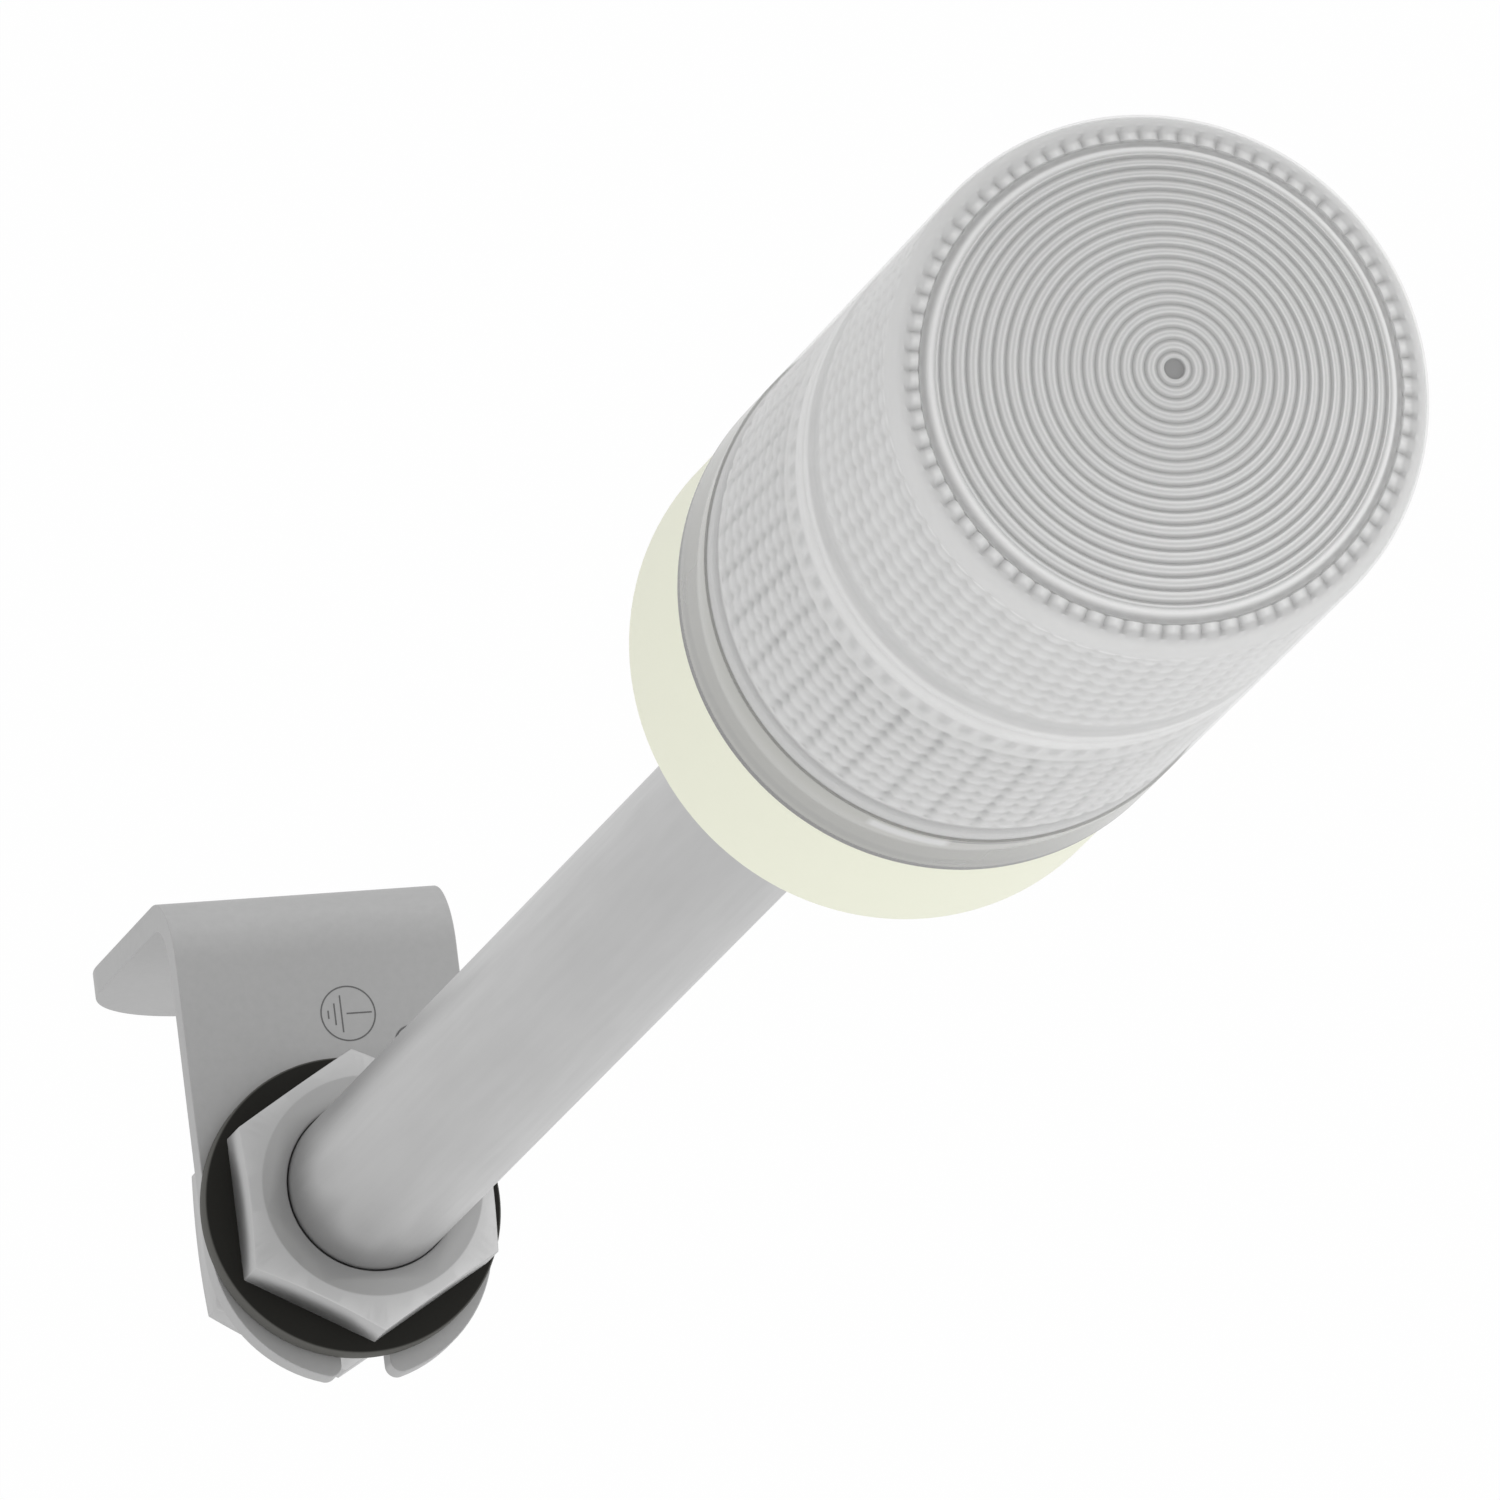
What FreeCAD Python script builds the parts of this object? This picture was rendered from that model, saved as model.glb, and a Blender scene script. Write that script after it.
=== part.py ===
import FreeCAD, Part
import Sketcher
import math
import os

# Stack light on a 22 mm pole, held to a wall by a bent plate bracket.
# Millimetres. Origin: middle of the two wall holes, in the bracket's wall face.
# +Z runs up along the pole, +Y points into the wall, +X lies along the bracket's bend.

doc = FreeCAD.newDocument("stack_light")
sheet = doc.addObject("Spreadsheet::Sheet", "Sizes")


class Size:
    """A length that carries its number and the spreadsheet formula that gives it."""

    def __init__(self, number, formula):
        self.number = number
        self.formula = formula

    def join(self, other, sign, number):
        return Size(number, "(%s %s %s)" % (self.formula, sign, sized(other).formula))

    def __add__(self, other):
        return self.join(other, "+", self.number + sized(other).number)

    def __sub__(self, other):
        return self.join(other, "-", self.number - sized(other).number)

    def __mul__(self, other):
        return self.join(other, "*", self.number * sized(other).number)

    def __truediv__(self, other):
        return self.join(other, "/", self.number / sized(other).number)

    def __radd__(self, other):
        return sized(other) + self

    def __rsub__(self, other):
        return sized(other) - self

    def __rmul__(self, other):
        return sized(other) * self

    def __neg__(self):
        return Size(-self.number, "(0 - %s)" % self.formula)

    def root(self):
        return Size(math.sqrt(self.number), "sqrt(%s)" % self.formula)


def sized(value):
    return value if isinstance(value, Size) else Size(float(value), repr(float(value)))


row_in_sheet = 0


def size(alias, number, note):
    """Writes one driving size into the sheet and returns it."""
    global row_in_sheet
    row_in_sheet += 1
    sheet.set("A%d" % row_in_sheet, note)
    sheet.set("B%d" % row_in_sheet, str(number))
    sheet.setAlias("B%d" % row_in_sheet, alias)
    return Size(float(number), "Sizes." + alias)


# ---- driving sizes: bracket ----
plate_thick = size("plateThick", 3.5, "bracket plate thickness")
plate_width = size("plateWidth", 37.1, "bracket width, also twice the radius of its round ends")
bend_radius = size("bendRadius", 6, "inside radius of the bend")
pole_offset = size("poleOffset", 43.5, "wall face to pole axis")
seat_height = size("seatHeight", 30.2, "origin up to the bracket's top face")
hole_spacing = size("holeSpacing", 25, "wall hole to wall hole")
wall_hole = size("wallHole", 6.6, "wall hole diameter, for M6")
end_setback = size("endSetback", 3.6, "pole axis to the centre of the front round end")
slot_width = size("slotWidth", 6.4, "cable slot width")
slot_mouth = size("slotMouth", 1.5, "radius of the slot's two mouth corners")
earth_x = size("earthX", 11.1, "earth stud to the right of the pole axis")
earth_y = size("earthY", 21.4, "earth stud behind the pole axis")
stud_diameter = size("studDiameter", 3, "earth stud thread")
stud_head = size("studHead", 4.2, "earth stud head, pressed in flush")
stud_head_thick = size("studHeadThick", 1.4, "earth stud head thickness")
stud_collar = size("studCollar", 3.4, "plain shank of the earth stud, inside the plate")
stud_length = size("studLength", 10, "earth stud below the plate")
stud_point = size("studPoint", 0.5, "chamfer at the tip of the earth stud's thread")

# ---- driving sizes: pole and what clamps it ----
pole_diameter = size("poleDiameter", 22, "pole outside diameter and foot thread")
pole_bore = size("poleBore", 17, "cable way through the pole")
stand_off = size("standOff", 298, "bracket top face to the base's underside")
thread_gap = size("threadGap", 0.05, "radial gap left for a thread")
loose_gap = size("looseGap", 0.4, "radial gap of a plain hole over the pole")
nut_across = size("nutAcross", 32, "nut across flats")
nut_height = size("nutHeight", 9.1, "nut height")
nut_face = size("nutFace", 28.8, "diameter of the nut's flat face inside its chamfer")
countersink = size("countersink", 0.25, "countersink at both mouths of a nut's bore")
gasket_diameter = size("gasketDiameter", 38.8, "rubber gasket diameter")
gasket_rim = size("gasketRim", 3.2, "gasket rim thickness")
gasket_seat = size("gasketSeat", 2.2, "raised seat of the gasket under the nut")
gasket_seat_diameter = size("gasketSeatDiameter", 30, "raised seat diameter")
washer_diameter = size("washerDiameter", 32, "flat washer diameter")
washer_thick = size("washerThick", 2, "flat washer thickness")
lock_thick = size("lockThick", 3.4, "spring lock washer section height")
lock_width = size("lockWidth", 4.6, "spring lock washer section width")
lock_split = size("lockSplit", 2, "spring lock washer split")
split_lean = size("splitLean", 2, "how far the split slants over the section height")
tail_length = size("tailLength", 5, "pole end below the lower nut")
pole_chamfer = size("poleChamfer", 0.8, "chamfer at both ends of the pole")
spigot_rise = size("spigotRise", 2, "spigot end above the nut inside the base")
bush_hole = size("bushHole", 8, "cable hole in the bush")
bush_depth = size("bushDepth", 9, "bush depth inside the pole")
bush_flange = size("bushFlange", 2, "bush flange thickness")
bush_setback = size("bushSetback", 0.6, "bush flange edge in from the pole's edge")
press_gap = size("pressGap", 0.03, "radial gap of a pressed fit")
slip_gap = size("slipGap", 0.3, "gap between mouldings that slide together")
screw_gap = size("screwGap", 0.2, "radial gap of a plain hole round a screw or its head")

# ---- driving sizes: base housing ----
base_diameter = size("baseDiameter", 64.6, "base housing diameter")
base_height = size("baseHeight", 28.8, "base housing height")
base_wall = size("baseWall", 2.4, "base housing wall")
base_floor = size("baseFloor", 3, "base housing floor")
base_round = size("baseRound", 1.2, "rounding of the base's lower edge")
boss_diameter = size("bossDiameter", 31, "socket boss under the base")
boss_height = size("bossHeight", 6, "socket boss height")
socket_depth = size("socketDepth", 5, "how far the full pole enters the boss")
spigot_diameter = size("spigotDiameter", 20, "threaded spigot at the pole's top")
top_nut_across = size("topNutAcross", 26, "nut inside the base, across flats")
top_nut_height = size("topNutHeight", 5, "nut inside the base, height")
top_nut_face = size("topNutFace", 24, "diameter of its flat face inside its chamfer")
seal_thick = size("sealThick", 1.5, "flat seal under the inner nut")
seal_diameter = size("sealDiameter", 28, "flat seal diameter")
pillar_diameter = size("pillarDiameter", 7, "screw pillar in the base")
pillar_circle = size("pillarCircle", 25.2, "pillar axis to pole axis")
screw_web = size("screwWeb", 3.5, "solid web left at a pillar's top for the screw head")
screw_diameter = size("screwDiameter", 3, "housing screw thread")
screw_head = size("screwHead", 5.6, "housing screw head diameter")
screw_head_height = size("screwHeadHeight", 2, "housing screw head height")

# ---- driving sizes: chassis and boards ----
chassis_diameter = size("chassisDiameter", 60, "collar of the chassis under the lens")
chassis_wall = size("chassisWall", 2.2, "chassis wall")
chassis_skirt = size("chassisSkirt", 8, "chassis depth inside the base")
flange_thick = size("flangeThick", 0.6, "chassis flange between base and lens")
flange_recess = size("flangeRecess", 0.9, "how far the flange edge stands back from the base wall")
collar_height = size("collarHeight", 14.3, "chassis collar above its flange")
deck_thick = size("deckThick", 2.2, "chassis deck")
deck_screw = size("deckScrew", 4, "length of the two screws in the light post's foot")
tab_web = size("tabWeb", 1, "solid left above the pilot in a screw tab")
tab_screw = size("tabScrew", 9, "length of the screws that hold the chassis down")
board_thick = size("boardThick", 1.6, "circuit board thickness")
driver_diameter = size("driverDiameter", 42, "driver board diameter")
driver_post = size("driverPost", 5, "chassis post for the driver board")
driver_circle = size("driverCircle", 17, "driver post to pole axis")
driver_drop = size("driverDrop", 12.5, "chassis flange down to the driver board")
driver_screw = size("driverScrew", 8, "length of the driver board's screws")
wire_hole = size("wireHole", 8, "hole for the wires in the driver board")
bayonet_turn = size("bayonetTurn", 17, "angle that one lens lug covers")
lug_height = size("lugHeight", 3, "height of a lens lug")
lug_depth = size("lugDepth", 1.1, "how far a lug enters the collar")
lug_level = size("lugLevel", 10.4, "lens edge up to the lug")
ring_section = size("ringSection", 1.6, "lens seal section, across and up")
ring_level = size("ringLevel", 2.6, "lens edge up to the lens seal")

# ---- driving sizes: light column ----
post_width = size("postWidth", 13, "square light post")
post_wall = size("postWall", 1.8, "light post wall")
post_headroom = size("postHeadroom", 17.5, "top screw to the dome's underside")
post_foot = size("postFoot", 26, "round foot of the light post")
foot_thick = size("footThick", 2, "foot thickness")
foot_screw_edge = size("footScrewEdge", 2.8, "edge of the foot in to a foot screw")
top_web = size("topWeb", 6, "solid top of the light post")
board_margin = size("boardMargin", 1, "end of the post down to the top of a side board")
led_board_width = size("ledBoardWidth", 12, "side board width")
led_board_thick = size("ledBoardThick", 1.2, "side board thickness")
top_board_diameter = size("topBoardDiameter", 26, "top board diameter")
chip_width = size("chipWidth", 3.5, "light chip width")
chip_height = size("chipHeight", 2.8, "light chip height")
chip_depth = size("chipDepth", 1, "light chip thickness")
chip_margin = size("chipMargin", 4, "end of a side board to its first and last chip")
chip_circle = size("chipCircle", 8, "top chips to pole axis")

# ---- driving sizes: lens ----
lens_diameter = size("lensDiameter", 66, "lens diameter")
lens_height = size("lensHeight", 115.8, "lens height over its dome")
lens_wall = size("lensWall", 2.4, "lens wall")
dome_radius = size("domeRadius", 75.5, "radius of the domed top")
shoulder = size("shoulder", 5, "rounding between dome and wall")
prism_depth = size("prismDepth", 0.9, "depth of the prism rows in the wall")
lower_field = size("lowerField", 18.8, "lens edge up to the lower prism rows")
field_gap = size("fieldGap", 18.3, "lower prism rows to upper prism rows")
field_margin = size("fieldMargin", 3.2, "upper prism rows to the ledge under the dome")
rib_drop = size("ribDrop", 4, "middle rib's lower edge below the upper rows")
rib_width = size("ribWidth", 3.4, "middle rib's width along the wall")
rib_reach = size("ribReach", 1.2, "how far the middle rib stands in from the wall")
ring_pitch = size("ringPitch", 1.457, "groove to groove under the dome")
first_ring = size("firstRing", 2.43, "radius of the innermost groove")
ring_depth = size("ringDepth", 0.7, "depth of a groove under the dome")
tooth_length = size("toothLength", 2.4, "tooth length below the ledge")
tooth_width = size("toothWidth", 1.1, "tooth width")
tooth_reach = size("toothReach", 2.2, "how far the ledge and its teeth stand in from the wall")

wall_holes = 2
pillar_count = 3
lug_count = 3
ring_count = 18
row_count = 9
tooth_count = 80
side_count = 4
chips_per_side = 8
lug_angle = 249.5
pillar_angle = 60
driver_angle = 30
overlap = 0.3

# ---- sizes that follow from the driving sizes ----
half_width = plate_width / 2
pole_radius = pole_diameter / 2
bore_radius = pole_radius + loose_gap
thread_radius = pole_radius + thread_gap
spigot_radius = spigot_diameter / 2
nut_corner = nut_across / (2 * math.cos(math.radians(30)))
lens_radius = lens_diameter / 2
lens_inside = lens_radius - lens_wall
base_radius = base_diameter / 2
collar_radius = chassis_diameter / 2
screw_radius = screw_diameter / 2
screw_clear = screw_radius + screw_gap
screw_pilot = screw_radius + thread_gap
head_clear = screw_head / 2 + screw_gap
foot_screw_y = post_foot / 2 - foot_screw_edge

gasket_level = seat_height
upper_nut_level = seat_height + gasket_rim + gasket_seat
washer_level = seat_height - plate_thick - washer_thick
lock_level = washer_level - lock_thick
lower_nut_level = lock_level - nut_height
pole_level = lower_nut_level - tail_length
base_level = seat_height + stand_off
flange_level = base_level + base_height
lens_level = flange_level + flange_thick
deck_level = lens_level + collar_height
post_top = lens_level + lens_height - lens_wall - post_headroom - screw_head_height - board_thick
post_height = post_top - deck_level
side_board_level = deck_level + foot_thick + screw_head_height + overlap
side_board_height = post_top - board_margin - side_board_level
chip_pitch = (side_board_height - 2 * chip_margin - chip_height) / (chips_per_side - 1)
driver_x = driver_circle * math.cos(math.radians(driver_angle))
driver_y = driver_circle * math.sin(math.radians(driver_angle))
tab_x = pillar_circle * math.cos(math.radians(pillar_angle))
tab_y = pillar_circle * math.sin(math.radians(pillar_angle))

sheet.recompute()


# ---- small tools ----
def new_body(label, level=0, forward=True):
    """A body on the pole axis with its own zero at the given level."""
    body = doc.addObject("PartDesign::Body", label)
    body.Label = label
    if forward:
        body.setExpression(".Placement.Base.y", "0 - Sizes.poleOffset")
    body.setExpression(".Placement.Base.z", sized(level).formula)
    return body


def plane_of(body, role):
    return [item for item in body.Origin.OriginFeatures if item.Role == role][0]


def new_sketch(body, name, role, offset=0):
    """A sketch on one of the body's own planes, lifted off it by the offset."""
    sketch = body.newObject("Sketcher::SketchObject", name)
    sketch.AttachmentSupport = [(plane_of(body, role), "")]
    sketch.MapMode = "FlatFace"
    lift = sized(offset)
    if lift.number:
        sketch.AttachmentOffset.Base.z = lift.number
        sketch.setExpression(".AttachmentOffset.Base.z", lift.formula)
    return sketch


def hold(sketch, geometry, point, axis, value):
    """Keeps one coordinate of a point at a formula, or on the axis when it is zero."""
    value = sized(value)
    if value.number == 0:
        on_axis = -2 if axis == "X" else -1
        sketch.addConstraint(Sketcher.Constraint("PointOnObject", geometry, point, on_axis))
        return
    index = sketch.addConstraint(
        Sketcher.Constraint("Distance" + axis, -1, 1, geometry, point, value.number)
    )
    sketch.setExpression("Constraints[%d]" % index, value.formula)


def closed_outline(sketch, corners, arcs=None):
    """Closed loop through the corners. arcs maps a side's number to its centre and sense."""
    arcs = arcs or {}
    spots = [FreeCAD.Vector(sized(x).number, sized(y).number, 0) for x, y in corners]
    count = len(spots)
    first = sketch.GeometryCount
    starts = []
    for side in range(count):
        start, end = spots[side], spots[(side + 1) % count]
        if side in arcs:
            centre_x, centre_y, anticlockwise = arcs[side]
            centre = FreeCAD.Vector(sized(centre_x).number, sized(centre_y).number, 0)
            circle = Part.Circle(centre, FreeCAD.Vector(0, 0, 1), start.distanceToPoint(centre))
            angle_of = [math.atan2(p.y - centre.y, p.x - centre.x) for p in (start, end)]
            if not anticlockwise:
                angle_of.reverse()
            sketch.addGeometry(Part.ArcOfCircle(circle, angle_of[0], angle_of[1]), False)
            starts.append((1, 2) if anticlockwise else (2, 1))
        else:
            sketch.addGeometry(Part.LineSegment(start, end), False)
            starts.append((1, 2))
    for side in range(count):
        after = (side + 1) % count
        end, start = starts[side][1], starts[after][0]
        sketch.addConstraint(Sketcher.Constraint("Coincident", first + side, end, first + after, start))
    for side, (x, y) in enumerate(corners):
        hold(sketch, first + side, starts[side][0], "X", x)
        hold(sketch, first + side, starts[side][0], "Y", y)
    for side, (centre_x, centre_y, anticlockwise) in arcs.items():
        chord = spots[(side + 1) % count] - spots[side]
        if abs(chord.x) >= abs(chord.y):
            hold(sketch, first + side, 3, "Y", centre_y)
        else:
            hold(sketch, first + side, 3, "X", centre_x)


def circle_in(sketch, radius, x=0, y=0):
    centre = FreeCAD.Vector(sized(x).number, sized(y).number, 0)
    index = sketch.addGeometry(Part.Circle(centre, FreeCAD.Vector(0, 0, 1), sized(radius).number), False)
    hold(sketch, index, 3, "X", x)
    hold(sketch, index, 3, "Y", y)
    bound = sketch.addConstraint(Sketcher.Constraint("Radius", index, sized(radius).number))
    sketch.setExpression("Constraints[%d]" % bound, sized(radius).formula)


def pad(body, sketch, length, midplane=False, reverse=False):
    feature = body.newObject("PartDesign::Pad", sketch.Name + "_pad")
    feature.Profile = sketch
    feature.setExpression("Length", sized(length).formula)
    feature.Midplane = midplane
    feature.Reversed = reverse
    doc.recompute()
    return feature


def cut(body, sketch, length, reverse=False, midplane=False):
    """A pocket that must take material away."""
    before = body.Shape.Volume
    feature = body.newObject("PartDesign::Pocket", sketch.Name + "_pocket")
    feature.Profile = sketch
    feature.setExpression("Length", sized(length).formula)
    feature.Reversed = reverse
    feature.Midplane = midplane
    doc.recompute()
    if body.Shape.Volume > before - 0.01:
        raise ValueError("%s cuts nothing from %s" % (sketch.Name, body.Label))
    return feature


def turn(body, name, corners, arcs=None, groove=False):
    """A full revolve about the body's own axis, or a groove of the same kind."""
    before = body.Shape.Volume if groove else 0
    sketch = new_sketch(body, name, "XZ_Plane")
    closed_outline(sketch, corners, arcs)
    kind = "PartDesign::Groove" if groove else "PartDesign::Revolution"
    feature = body.newObject(kind, name + "_turned")
    feature.Profile = sketch
    feature.ReferenceAxis = (sketch, ["V_Axis"])
    feature.Angle = 360
    doc.recompute()
    if groove and body.Shape.Volume > before - 0.01:
        raise ValueError("%s cuts nothing from %s" % (name, body.Label))
    return feature


def turned_body(label, level, corners, arcs=None):
    body = new_body(label, level)
    turn(body, label + "_profile", corners, arcs)
    return body


def rounded(body, feature, picks, radius, chamfer=False):
    """Fillet or chamfer on the edges that the test picks."""
    names = ["Edge%d" % (n + 1) for n, edge in enumerate(feature.Shape.Edges) if picks(edge)]
    if not names:
        raise ValueError("no edge to round on " + body.Label)
    kind, size_name = ("PartDesign::Chamfer", "Size") if chamfer else ("PartDesign::Fillet", "Radius")
    result = body.newObject(kind, body.Name + ("_chamfer" if chamfer else "_fillet"))
    result.Base = (feature, names)
    result.setExpression(size_name, sized(radius).formula)
    doc.recompute()
    return result


def polar(body, features, count):
    pattern = body.newObject("PartDesign::PolarPattern", features[0].Name + "_ring")
    pattern.Originals = features
    pattern.Axis = (features[0].Profile[0], ["N_Axis"])
    pattern.Angle = 360
    pattern.Occurrences = count
    body.Tip = pattern
    doc.recompute()
    return pattern


def is_circle(edge, radius, level):
    """True for a full circle of this radius about the axis at this level."""
    if edge.Degenerated or not isinstance(edge.Curve, Part.Circle):
        return False
    near_radius = abs(edge.Curve.Radius - sized(radius).number) < 0.01
    near_level = abs(edge.BoundBox.ZMin - sized(level).number) < 0.01
    return near_radius and near_level and edge.BoundBox.ZLength < 0.01


def ring_corners(inside, outside, bottom, top):
    """Corners of a plain ring section."""
    return [(inside, bottom), (outside, bottom), (outside, top), (inside, top)]


def hexagon_corners(corner):
    """Six corners, one of them to the front, flats to the left and right."""
    angles = [math.radians(30 + 60 * n) for n in range(6)]
    return [(corner * math.cos(a), corner * math.sin(a)) for a in angles]


# ---- bracket: one plate, bent once ----
def make_bracket():
    body = new_body("mounting_bracket", 0, forward=False)
    bend_outside = bend_radius + plate_thick
    bend_y = -bend_outside
    bend_z = seat_height - bend_outside
    end_y = -(pole_offset + end_setback)

    # top leg with a full round front end
    top = new_sketch(body, "top_leg", "XY_Plane", seat_height - plate_thick)
    closed_outline(
        top,
        [(-half_width, bend_y), (-half_width, end_y), (half_width, end_y), (half_width, bend_y)],
        {1: (0, end_y, True)},
    )
    pad(body, top, plate_thick)

    # wall leg with a full round lower end, centred on the lower wall hole
    leg_end = -(hole_spacing / 2)
    wall = new_sketch(body, "wall_leg", "XZ_Plane")
    closed_outline(
        wall,
        [(half_width, bend_z), (-half_width, bend_z), (-half_width, leg_end), (half_width, leg_end)],
        {2: (0, leg_end, True)},
    )
    pad(body, wall, plate_thick)

    # quarter bend between the two legs
    bend = new_sketch(body, "bend", "YZ_Plane")
    closed_outline(
        bend,
        [(bend_y, seat_height), (bend_y, bend_z + bend_radius), (-plate_thick, bend_z), (0, bend_z)],
        {1: (bend_y, bend_z, False), 3: (bend_y, bend_z, True)},
    )
    pad(body, bend, plate_width, midplane=True)

    # pole hole, the earth stud's stepped hole and the cable slot that opens to the front
    stud_y = earth_y - pole_offset
    holes = new_sketch(body, "pole_hole", "XY_Plane", seat_height)
    circle_in(holes, bore_radius, 0, -pole_offset)
    circle_in(holes, stud_collar / 2 + press_gap, earth_x, stud_y)
    cut(body, holes, plate_thick)
    seat = new_sketch(body, "stud_seat", "XY_Plane", seat_height)
    circle_in(seat, stud_head / 2 + thread_gap, earth_x, stud_y)
    cut(body, seat, stud_head_thick)

    slot = new_sketch(body, "cable_slot", "XY_Plane", seat_height)
    slot_half = slot_width / 2
    front = end_y - half_width
    # the slot's mouth meets the round end where the arc has dropped back
    mouth_y = end_y - (half_width * half_width - slot_half * slot_half).root()
    past_front = front - 1
    closed_outline(
        slot,
        [
            (-slot_half, -pole_offset),
            (-slot_half, past_front),
            (slot_half, past_front),
            (slot_half, -pole_offset),
        ],
    )
    slotted = cut(body, slot, plate_thick)

    def at_mouth(edge):
        box = edge.BoundBox
        upright = box.ZLength > plate_thick.number - 0.01 and box.XLength < 0.01 and box.YLength < 0.01
        at_side = abs(abs(box.Center.x) - slot_half.number) < 0.01
        return upright and at_side and abs(box.Center.y - mouth_y.number) < 0.01

    rounded(body, slotted, at_mouth, slot_mouth)

    wall_pair = new_sketch(body, "wall_hole_pair", "XZ_Plane")
    for n in range(wall_holes):
        circle_in(wall_pair, wall_hole / 2, 0, hole_spacing * (n - 0.5))
    cut(body, wall_pair, plate_thick, reverse=True)
    return body


def make_earth_stud():
    """Press-in stud: flush head, a plain shank held in the plate, and a thread below it."""
    body = new_body("earth_stud", seat_height, forward=False)
    body.setExpression(".Placement.Base.x", earth_x.formula)
    body.setExpression(".Placement.Base.y", (earth_y - pole_offset).formula)
    head = stud_head / 2
    collar = stud_collar / 2
    thread = stud_diameter / 2
    tip = -(plate_thick + stud_length)
    corners = [
        (0, 0), (head, 0), (head, -stud_head_thick), (collar, -stud_head_thick),
        (collar, -plate_thick), (thread, -plate_thick),
        (thread, tip + stud_point), (thread - stud_point, tip), (0, tip),
    ]
    turn(body, "earth_stud_profile", corners)
    return body


# ---- clamp stack on the pole's foot ----
def make_nut(label, level, across, height, face, bore, both_sides):
    """Hexagon nut, its corners turned off at 30 degrees from the flat face."""
    corner = across / (2 * math.cos(math.radians(30)))
    body = new_body(label, level)
    shape = new_sketch(body, label + "_hexagon", "XY_Plane")
    closed_outline(shape, hexagon_corners(corner))
    pad(body, shape, height)
    reach = corner + 1
    drop = (reach - face / 2) * math.tan(math.radians(30))
    upper_cut = [(face / 2, height), (reach, height - drop), (reach, height)]
    turn(body, label + "_corner_cut", upper_cut, groove=True)
    if both_sides:
        turn(body, label + "_lower_cut", [(face / 2, 0), (reach, 0), (reach, drop)], groove=True)
    hole = new_sketch(body, label + "_bore", "XY_Plane")
    circle_in(hole, bore)
    cut(body, hole, height, reverse=True)
    mouth = bore + countersink
    inner = bore - 1
    sink = countersink + 1
    top_mouth = [(inner, height), (inner, height - sink), (mouth, height)]
    turn(body, label + "_top_mouth", top_mouth, groove=True)
    if both_sides:
        turn(body, label + "_lower_mouth", [(inner, 0), (mouth, 0), (inner, sink)], groove=True)
    return body


def make_gasket():
    rim = gasket_diameter / 2
    seat = gasket_seat_diameter / 2
    top = gasket_rim + gasket_seat
    corners = [
        (bore_radius, 0), (rim, 0), (rim, gasket_rim),
        (seat, gasket_rim), (seat, top), (bore_radius, top),
    ]
    return turned_body("bracket_gasket", gasket_level, corners)


def make_flat_washer():
    return turned_body(
        "flat_washer", washer_level, ring_corners(bore_radius, washer_diameter / 2, 0, washer_thick)
    )


def make_lock_washer():
    """Square-section spring ring with one slanting split."""
    outside = bore_radius + lock_width
    body = turned_body("lock_washer", lock_level, ring_corners(bore_radius, outside, 0, lock_thick))
    split = new_sketch(body, "split", "XZ_Plane")
    half = lock_split / 2
    top = lock_thick + overlap
    slanted = [(-half, -overlap), (half, -overlap), (half + split_lean, top), (split_lean - half, top)]
    closed_outline(split, slanted)
    cut(body, split, outside + 1, reverse=True)
    return body


def make_pole():
    """Tube with a turned-down spigot at the top for the nut inside the base."""
    inside = pole_bore / 2
    shoulder_level = base_level - boss_height + socket_depth - pole_level
    top = base_level + base_floor + seal_thick + top_nut_height + spigot_rise - pole_level
    corners = [
        (inside, 0), (pole_radius, 0), (pole_radius, shoulder_level), (spigot_radius, shoulder_level),
        (spigot_radius, top), (inside, top),
    ]
    body = turned_body("pole", pole_level, corners)
    ends = body.Tip

    def at_ends(edge):
        return is_circle(edge, pole_radius, 0) or is_circle(edge, spigot_radius, top)

    rounded(body, ends, at_ends, pole_chamfer, chamfer=True)
    return body


def make_cable_bush():
    """Flanged rubber bush in the pole's lower end."""
    flange = pole_radius - bush_setback
    plug = pole_bore / 2 - press_gap
    hole = bush_hole / 2
    corners = [
        (hole, -bush_flange), (flange, -bush_flange), (flange, 0),
        (plug, 0), (plug, bush_depth), (hole, bush_depth),
    ]
    return turned_body("cable_bush", pole_level, corners)


# ---- base housing and what fixes the pole in it ----
def make_base_housing():
    """Moulded cup with a socket boss below and three hollow screw pillars inside."""
    inside = base_radius - base_wall
    corners = [
        (pole_radius + thread_gap, -boss_height),
        (boss_diameter / 2, -boss_height),
        (boss_diameter / 2, 0),
        (base_radius, 0),
        (base_radius, base_height),
        (inside, base_height),
        (inside, base_floor),
        (spigot_radius + thread_gap, base_floor),
        (spigot_radius + thread_gap, socket_depth - boss_height),
        (pole_radius + thread_gap, socket_depth - boss_height),
    ]
    body = turned_body("base_housing", base_level, corners)
    cup = body.Tip
    rounded(body, cup, lambda edge: is_circle(edge, base_radius, 0), base_round)

    pillar_top = base_height - chassis_skirt
    pillar = new_sketch(body, "pillar", "XY_Plane", base_floor)
    circle_in(pillar, pillar_diameter / 2, tab_x, tab_y)
    polar(body, [pad(body, pillar, pillar_top - base_floor)], pillar_count)
    well = new_sketch(body, "screw_well", "XY_Plane")
    circle_in(well, head_clear, tab_x, tab_y)
    polar(body, [cut(body, well, pillar_top - screw_web, reverse=True)], pillar_count)
    shank = new_sketch(body, "screw_way", "XY_Plane")
    circle_in(shank, screw_clear, tab_x, tab_y)
    polar(body, [cut(body, shank, pillar_top, reverse=True)], pillar_count)
    return body


def make_pole_seal():
    return turned_body(
        "pole_seal",
        base_level + base_floor,
        ring_corners(spigot_radius + thread_gap, seal_diameter / 2, 0, seal_thick),
    )


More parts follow.
